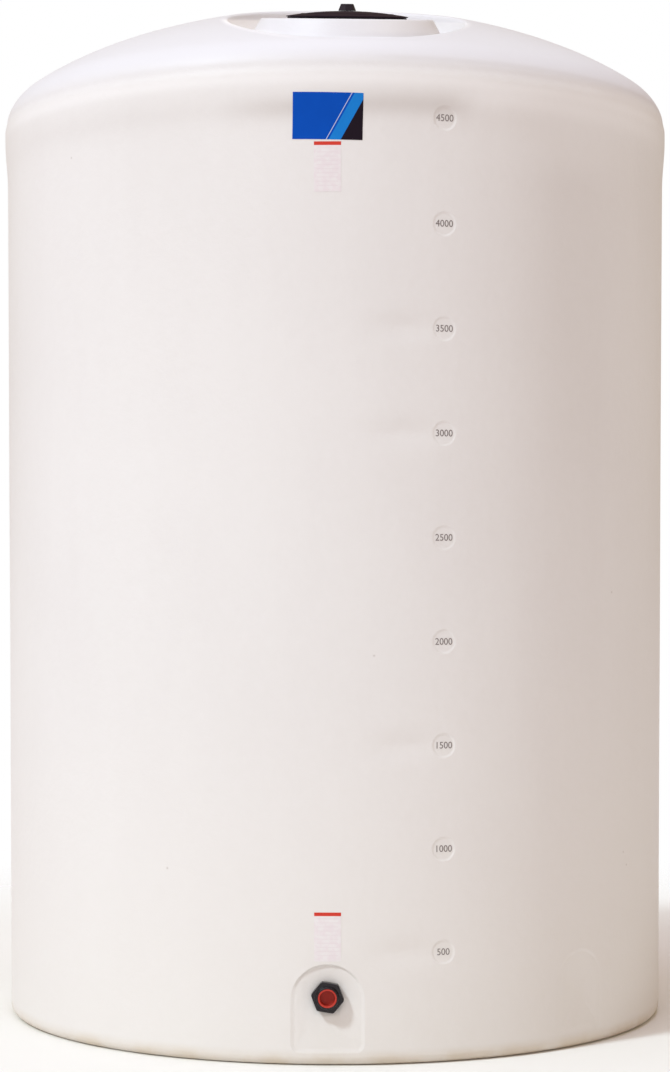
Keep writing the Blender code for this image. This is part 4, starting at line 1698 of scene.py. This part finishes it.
@dataclass
class PrintedFilm:
    """A printed film on the wall at the azimuth of the outlet."""

    UV = "print"

    bender: Bender
    name: str
    finish: Finish
    slot: Slot
    width: float
    low: float
    high: float
    shift: float = 0.0
    turn: float = 0.0
    thickness: float = 0.0006
    gap: float = 0.0001
    columns: int = 16
    rows: int = 12

    def build(self) -> None:
        """Build the film as a thin closed plate that follows the wall."""
        work = bmesh.new()
        layer = work.loops.layers.uv.new(self.UV)
        places: dict[bmesh.types.BMVert, tuple[float, float]] = {}
        grids = [self._grid(work, places, height) for height in (self.gap + self.thickness, self.gap)]
        for grid, turn in zip(grids, (1, -1)):
            for j in range(self.rows):
                for i in range(self.columns):
                    corners = (grid[j][i], grid[j][i + 1], grid[j + 1][i + 1], grid[j + 1][i])
                    work.faces.new(corners[::turn])
        front, back = (border(grid, (0, self.rows), (0, self.columns)) for grid in grids)
        for i in range(len(front)):
            j = (i + 1) % len(front)
            work.faces.new((back[i], back[j], front[j], front[i]))
        for face in work.faces:
            for loop in face.loops:
                loop[layer].uv = places[loop.vert]
        mesh = bpy.data.meshes.new(self.name)
        work.to_mesh(mesh)
        work.free()
        piece = self.bender.bend(f"{self.name}_print", mesh, self.finish)
        piece.data.shade_smooth()
        piece.data.set_sharp_from_angle(angle=radians(40))
        settle(piece, Body.TANK, [self.name])

    def _grid(
        self, work: bmesh.types.BMesh, places: dict[bmesh.types.BMVert, tuple[float, float]], height: float,
    ) -> list[list[bmesh.types.BMVert]]:
        """Add the corners of one side of the film.

        Args:
            work: The mesh that they are added to.
            places: The place of each corner on the print, which is filled in.
            height: How far this side lies above the wall.

        Returns:
            The corners, row by row.
        """
        low, high = (SECTION.length_at_height(z) for z in (self.low, self.high))
        lean = radians(self.turn)
        grid = []
        for j in range(self.rows + 1):
            up = (high - low) * (j / self.rows - 0.5)
            grid.append([])
            for i in range(self.columns + 1):
                across = self.width / 2 * (2 * i / self.columns - 1)
                x = self.shift + across * cos(lean) + up * sin(lean)
                y = (low + high) / 2 + up * cos(lean) - across * sin(lean)
                corner = work.verts.new((x / SECTION.radius, y, height))
                places[corner] = (i / self.columns, j / self.rows)
                grid[-1].append(corner)
        return grid


@dataclass(frozen=True)
class Thread:
    """A screw thread: a rounded bead, wound round an axis.

    Attributes:
        radius: The radius of the bead's centreline.
        pitch: The rise in one turn.
        turns: The number of turns.
        foot: The height where it starts.
        bead: The bead's own radius.
    """

    radius: float
    pitch: float
    turns: float
    foot: float
    bead: float


class ThreadCutter(ShapeTree):
    """Geometry Nodes that wind a rounded thread round an axis."""

    NAME = "thread"
    INPUTS = {"Radius": "Float", "Pitch": "Float", "Turns": "Float", "Foot": "Float", "Bead": "Float"}

    def shape(self, graph: Graph, inputs: dict[str, Signal]) -> Signal:
        """Add the nodes of the shape."""
        line = graph.signal("GeometryNodeCurveSpiral", {}, {
            "Resolution": 72, "Rotations": inputs["Turns"], "Start Radius": inputs["Radius"],
            "End Radius": inputs["Radius"], "Height": inputs["Pitch"] * inputs["Turns"]})
        bead = graph.signal("GeometryNodeCurvePrimitiveCircle", {}, {
            "Resolution": 8, "Radius": inputs["Bead"]})
        thread = graph.signal("GeometryNodeCurveToMesh", {}, {
            "Curve": line, "Profile Curve": bead, "Fill Caps": True})
        lift = graph.combine(0.0, 0.0, inputs["Foot"])
        return graph.signal("GeometryNodeSetPosition", {}, {"Geometry": thread, "Offset": lift})

    def wind(self, name: str, thread: Thread, finish: Finish, matrix: Matrix) -> bpy.types.Object:
        """Wind a thread.

        Args:
            name: The piece's name.
            thread: Its sizes.
            finish: The finish of its surface.
            matrix: The matrix from the thread's frame to the tank's.

        Returns:
            The thread as a plain mesh.
        """
        values = {size.capitalize(): value for size, value in asdict(thread).items()}
        item = self.run(name, bpy.data.meshes.new("blank"), finish, values)
        return closed_piece(name, item.data, finish, matrix)


@dataclass
class ManwayLid:
    """The lid with its vent, and the screw ring that it closes."""

    threads: ThreadCutter
    lid_r: float = 0.2225
    seat: float = 0.0061
    edge: float = 0.0091
    top: float = 0.028
    skirt_r: float = 0.190
    skirt_t: float = 0.008
    skirt_end: float = -0.032
    crown_t: float = 0.007
    bead: tuple[float, float, float] = (0.166, 0.0012, 0.0035)
    groove: tuple[float, float, float] = (0.056, -0.0006, 0.0025)
    top_stretches: tuple[tuple[float, float, int], ...] = (
        (0.0, 0.05, 6), (0.052, 0.062, 8), (0.075, 0.155, 7), (0.158, 0.174, 13), (0.182, 0.2195, 6))
    under_radii: tuple[float, ...] = (0.12, 0.09, 0.05, 0.0)
    ring_r: float = 0.2175
    ring_bore_r: float = 0.195
    ring_sleeve_r: float = 0.2055
    ring_end: float = -0.040
    thread_pitch: float = 0.011
    vent_flats: float = 0.0590
    vent_top_flats: float = 0.0450
    vent_top: float = 0.053
    vent_edge: float = 0.0045
    vent_turn: float = 12.0
    vent_corner: float = 0.57

    def _dome(self, radius: float) -> float:
        """Return the height of the lid's top at a radius."""
        rise = self.edge + (self.top - self.edge) * (1 - (radius / self.lid_r) ** 2)
        for middle, height, width in (self.bead, self.groove):
            rise += height * exp(-((radius - middle) / width) ** 2)
        return rise

    def _lid(self) -> None:
        """Build the lid, a low dome with a rounded edge and a screw skirt."""
        radii = [float(r) for stretch in self.top_stretches for r in np.linspace(*stretch)]
        inner_r = self.skirt_r - self.skirt_t
        path = [(r, self._dome(r)) for r in radii]
        path += rounded([
            (*path[-1], 0), (self.lid_r, self.edge, 0.0012), (self.lid_r, self.seat, 0.0012),
            (self.skirt_r, self.seat, 0.001), (self.skirt_r, self.skirt_end, 0.002),
            (inner_r, self.skirt_end, 0.002), (inner_r, self.seat, 0.002),
            (0.150, self._dome(0.150) - self.crown_t, 0)])[1:]
        path += [(r, self._dome(r) - self.crown_t) for r in self.under_radii]
        piece = turned("lid_shell", path, LID_FINISH, MANWAY.matrix, steps=144)
        settle(piece, Body.LID, ["manway_lid"])

    def _vent(self) -> None:
        """Build the six-sided vent cap, narrower at its rounded top."""
        foot, top, edge = self.top + 0.0003, self.vent_top, self.vent_edge
        loops = [hexagon(self.vent_flats - 0.003, foot, self.vent_turn, 0.0315)]
        low = foot + 0.0012
        for share in (0.0, 0.25, 0.5, 0.75, 1.0):
            flats = self.vent_flats + (self.vent_top_flats - self.vent_flats) * share
            height = low + (top - edge - low) * share
            loops.append(hexagon(flats, height, self.vent_turn, self.vent_corner * flats))
        for k in range(1, 7):
            turn = radians(90) * k / 6
            flats = self.vent_top_flats - 2 * edge * (1 - cos(turn))
            height = top - edge * (1 - sin(turn))
            loops.append(hexagon(flats, height, self.vent_turn, self.vent_corner * flats))
        loops.append(circle(0.009, top + 0.0001))
        piece = loft("vent_knob", loops, VENT_FINISH, MANWAY.matrix, angle=28)
        settle(piece, Body.LID, ["vent_cap"])

    def _ring(self) -> None:
        """Build the screw ring that lines the mouth."""
        path = rounded([
            (0.2050, 0.0003, 0), (self.ring_r, 0.0003, 0.0005), (self.ring_r, 0.0035, 0.001),
            (self.ring_bore_r, 0.0035, 0.0012), (self.ring_bore_r, self.ring_end, 0.0012),
            (self.ring_sleeve_r, self.ring_end, 0.0012), (self.ring_sleeve_r, 0.0003, 0)])[1:]
        piece = turned("lid_screw_ring", path, LID_FINISH, MANWAY.matrix, ring=True, steps=144)
        settle(piece, Body.TANK, ["lid_ring"])

    def build(self) -> None:
        """Build the lid, its vent, its ring and both threads."""
        self._lid()
        self._vent()
        self._ring()
        outer = Thread(self.skirt_r, self.thread_pitch, turns=2.0, foot=-0.0275, bead=0.0022)
        settle(self.threads.wind("lid_thread", outer, LID_FINISH, MANWAY.matrix), Body.LID)
        inner = Thread(self.ring_bore_r, self.thread_pitch, turns=2.2, foot=-0.0355, bead=0.0016)
        settle(self.threads.wind("ring_thread", inner, LID_FINISH, MANWAY.matrix), Body.TANK)
        dress("lid_gasket", RUBBER_FINISH)


@dataclass
class Outlet:
    """The outlet: a fitting with a six-sided head, a gasket on both sides, a nut and a red plug."""

    threads: ThreadCutter
    z: float = 0.2435
    face: float = 1.2829
    flats: float = 0.1030
    turn: float = -9.5
    corner_r: float = 0.0596
    head_low: float = 0.0036
    head_top: float = 0.0326
    head_edge: float = 0.0026
    rim_r: float = 0.039
    rim_top: float = 0.047
    seat_r: float = 0.0335
    seat_z: float = 0.041
    bore_r: float = 0.0302
    shank_r: float = 0.038
    shank_end: float = -0.058
    plug_face: float = 0.0465
    plug_end: float = 0.0133
    cup_r: float = 0.0273
    cup_z: float = 0.0245
    gasket_bore_r: float = 0.0385
    gasket_r: float = 0.0485
    gasket_edge: float = 0.0013
    play: float = 0.0003

    @property
    def matrix(self) -> Matrix:
        """The matrix from the fitting's frame, whose axis points out of the tank, to the tank's."""
        return Matrix.Translation((0.0, -self.face, self.z)) @ Matrix.Rotation(radians(90), 4, "X")

    def _body(self) -> None:
        """Build the fitting's body as one ring of loops, from its bore round its head and back."""
        loops = [circle(r, z) for r, z in (
            (self.bore_r, self.shank_end + 0.002), (self.bore_r + 0.002, self.shank_end),
            (self.shank_r - 0.0015, self.shank_end), (self.shank_r, self.shank_end + 0.0015),
            (self.shank_r, self.head_low),
        )]
        loops.append(hexagon(self.flats - 0.002, self.head_low, self.turn, self.corner_r - 0.001))
        loops.append(hexagon(self.flats, self.head_low + 0.001, self.turn, self.corner_r))
        for k in range(7):
            angle = radians(15) * k
            inset = self.head_edge * (1 - cos(angle))
            height = self.head_top - self.head_edge * (1 - sin(angle))
            loops.append(hexagon(self.flats - 2 * inset, height, self.turn, self.corner_r - inset))
        loops.append(hexagon(self.flats - 0.012, self.head_top, self.turn, 0.0478))
        loops += [circle(r, z) for r, z in rounded([
            (0.0440, self.head_top, 0), (self.rim_r + 0.0020, self.head_top, 0.002),
            (self.rim_r, self.rim_top, 0.0044), (self.seat_r, self.rim_top, 0.0010),
            (self.seat_r, self.seat_z, 0.0004), (self.bore_r, self.seat_z, 0.0004),
            (self.bore_r, self.seat_z - 0.01, 0),
        ])]
        piece = loft("outlet_fitting", loops, FITTING_FINISH, self.matrix, ring=True, angle=50)
        settle(piece, Body.TANK, ["outlet_body"])

    def _plug(self) -> None:
        """Build the red plug, a cup with a rounded lip."""
        rim_r, shank_r, seat_z = self.seat_r - self.play, self.bore_r - self.play, self.seat_z + self.play
        path = rounded([
            (0.0, self.cup_z, 0), (self.cup_r - 0.0012, self.cup_z, 0.0030),
            (self.cup_r, self.plug_face, 0.0016), (rim_r, self.plug_face, 0.0012),
            (rim_r, seat_z, 0.0003), (shank_r, seat_z, 0.0003),
            (shank_r, self.plug_end, 0.0010), (0.0, self.plug_end, 0)])
        piece = turned("outlet_cup_plug", path, PLUG_FINISH, self.matrix)
        settle(piece, Body.TANK, ["outlet_plug"])

    def _gasket(self) -> None:
        """Build the gasket under the head, pressed out a little at its edge."""
        low, top = self.play, self.head_low - self.play
        path = rounded([
            (self.gasket_bore_r, low, 0), (self.gasket_r, low, self.gasket_edge),
            (self.gasket_r, top, self.gasket_edge), (self.gasket_bore_r, top, 0)])
        piece = turned("outlet_face_gasket", path, RUBBER_FINISH, self.matrix, ring=True)
        settle(piece, Body.TANK, ["outlet_gasket"])

    def build(self) -> None:
        """Build the fitting, its plug, its gasket and the thread for its nut."""
        self._body()
        self._plug()
        self._gasket()
        thread = Thread(self.shank_r - 0.0004, pitch=0.0022, turns=5.0, foot=-0.0565, bead=0.0008)
        wound = self.threads.wind("outlet_thread", thread, FITTING_FINISH, self.matrix)
        settle(wound, Body.TANK)
        dress("outlet_nut", FITTING_FINISH)
        dress("outlet_inner_gasket", RUBBER_FINISH)


def dress(node: str, finish: Finish) -> None:
    """Give a node that stays as it is the material of a finish.

    Args:
        node: The node's name.
        finish: The finish.
    """
    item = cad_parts[node]
    if not item.material_slots:
        item.data.materials.append(finish.material())
    for slot in item.material_slots:
        slot.material = finish.material()
    LOG.info("%s: kept and dressed", node)


@dataclass(frozen=True)
class SoftLight:
    """A wide soft light, far off.

    Attributes:
        name: Its name.
        way: The azimuth and elevation that it shines from, in degrees.
        width: The angle that it fills, in degrees.
        strength: Its strength.
        colour: Its colour.
    """

    AIM_Z = 1.9
    DISTANCE = 9.0

    name: str
    way: tuple[float, float]
    width: float
    strength: float
    colour: Colour

    def hang(self) -> None:
        """Add the light to the scene."""
        data = bpy.data.lights.new(self.name, "SUN")
        data.angle = radians(self.width)
        data.energy = self.strength
        data.color = self.colour
        light = bpy.data.objects.new(self.name, data)
        azimuth, rise = radians(self.way[0]), radians(self.way[1])
        out = Vector((sin(azimuth) * cos(rise), -cos(azimuth) * cos(rise), sin(rise)))
        light.location = Vector((0.0, 0.0, self.AIM_Z)) + out * self.DISTANCE
        light.rotation_euler = out.to_track_quat("Z", "Y").to_euler()
        bpy.context.scene.collection.objects.link(light)


@dataclass
class Studio:
    """The camera, a plain pale floor and soft light."""

    distance: float = 9.710
    eye_height: float = 1.689
    azimuth: float = 1.15
    pitch: float = 2.04
    lens: float = 81.1
    shift_y: float = 0.1253
    floor_z: float = -0.0005
    floor_half: float = 30.0
    above: Colour = (0.450, 0.351, 0.230)
    below: Colour = (0.918, 0.855, 0.867)
    lights: tuple[SoftLight, ...] = (
        SoftLight("key_light", (-51.0, 47.0), 6.5, 1.93, (0.760, 0.907, 1.0)),
        SoftLight("front_fill", (0.0, 20.0), 75.0, 0.528, (0.716, 0.750, 1.0)),
        SoftLight("left_fill", (-105.0, 15.0), 50.0, 0.198, (0.586, 0.556, 1.0)),
        SoftLight("top_fill", (0.0, 89.0), 30.0, 0.958, (0.722, 0.743, 1.0)),
    )

    def build(self) -> None:
        """Set up the studio."""
        self._camera()
        self._world()
        self._floor()
        for light in self.lights:
            light.hang()

    def _camera(self) -> None:
        """Place the camera where the photograph was taken from."""
        data = bpy.data.cameras.new("camera")
        data.sensor_width = 36.0
        data.lens = self.lens
        data.shift_y = self.shift_y
        camera = bpy.data.objects.new("camera", data)
        angle = radians(self.azimuth)
        camera.location = (self.distance * sin(angle), -self.distance * cos(angle), self.eye_height)
        camera.rotation_euler = (radians(90 - self.pitch), 0.0, angle)
        bpy.context.scene.collection.objects.link(camera)
        bpy.context.scene.camera = camera

    def _world(self) -> None:
        """Light the scene from above and below, before a white background."""
        world = bpy.data.worlds.new("studio")
        bpy.context.scene.world = world
        bpy.context.scene.view_settings.view_transform = "Standard"
        world.use_nodes = True
        world.node_tree.nodes.clear()
        graph = Graph(world.node_tree)
        rise = graph.signal("ShaderNodeTexCoord", {}, {}, "Generated").parts()[2]
        colour = graph.blend(rise.step(-0.05, 0.05), self.below, self.above)
        seen = graph.signal("ShaderNodeLightPath", {}, {}, "Is Camera Ray")
        soft = graph.signal("ShaderNodeBackground", {}, {"Color": colour, "Strength": 1.0})
        white = graph.signal("ShaderNodeBackground", {}, {"Color": (1, 1, 1, 1), "Strength": 1.0})
        mixed = graph.signal("ShaderNodeMixShader", {}, {0: seen, 1: soft, 2: white})
        graph.node("ShaderNodeOutputWorld", {}, {"Surface": mixed})

    def _floor(self) -> None:
        """Lay the floor just under the tank."""
        mesh = bpy.data.meshes.new("studio_floor")
        signs = ((-1, -1), (1, -1), (1, 1), (-1, 1))
        corners = [(self.floor_half * x, self.floor_half * y, self.floor_z) for x, y in signs]
        mesh.from_pydata(corners, [], [(0, 1, 2, 3)])
        mesh.materials.append(StudioFloor().material())
        floor = bpy.data.objects.new("studio_floor", mesh)
        bpy.context.scene.collection.objects.link(floor)


def main() -> None:
    """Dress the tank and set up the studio."""
    logging.basicConfig(level=logging.INFO, format="%(name)s: %(message)s")
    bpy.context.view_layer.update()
    Studio().build()
    bender = Bender()
    threads = ThreadCutter()
    moulding = TankMoulding(bender)
    moulding.build()
    LevelNumbers(bender, moulding).build()
    films = (
        PrintedFilm(bender, "front_label", LabelPrint(), Slot.LABEL, width=0.2435, low=3.2275, high=3.388,
                    shift=0.0010, turn=1.1),
        PrintedFilm(bender, "upper_card", CardPrint(), Slot.CARD, width=0.094, low=3.048, high=3.2205),
        PrintedFilm(bender, "lower_card", CardPrint(), Slot.CARD, width=0.094, low=0.369, high=0.541))
    for film in films:
        film.build()
    ManwayLid(threads).build()
    Outlet(threads).build()


if __name__ == "__main__":
    main()
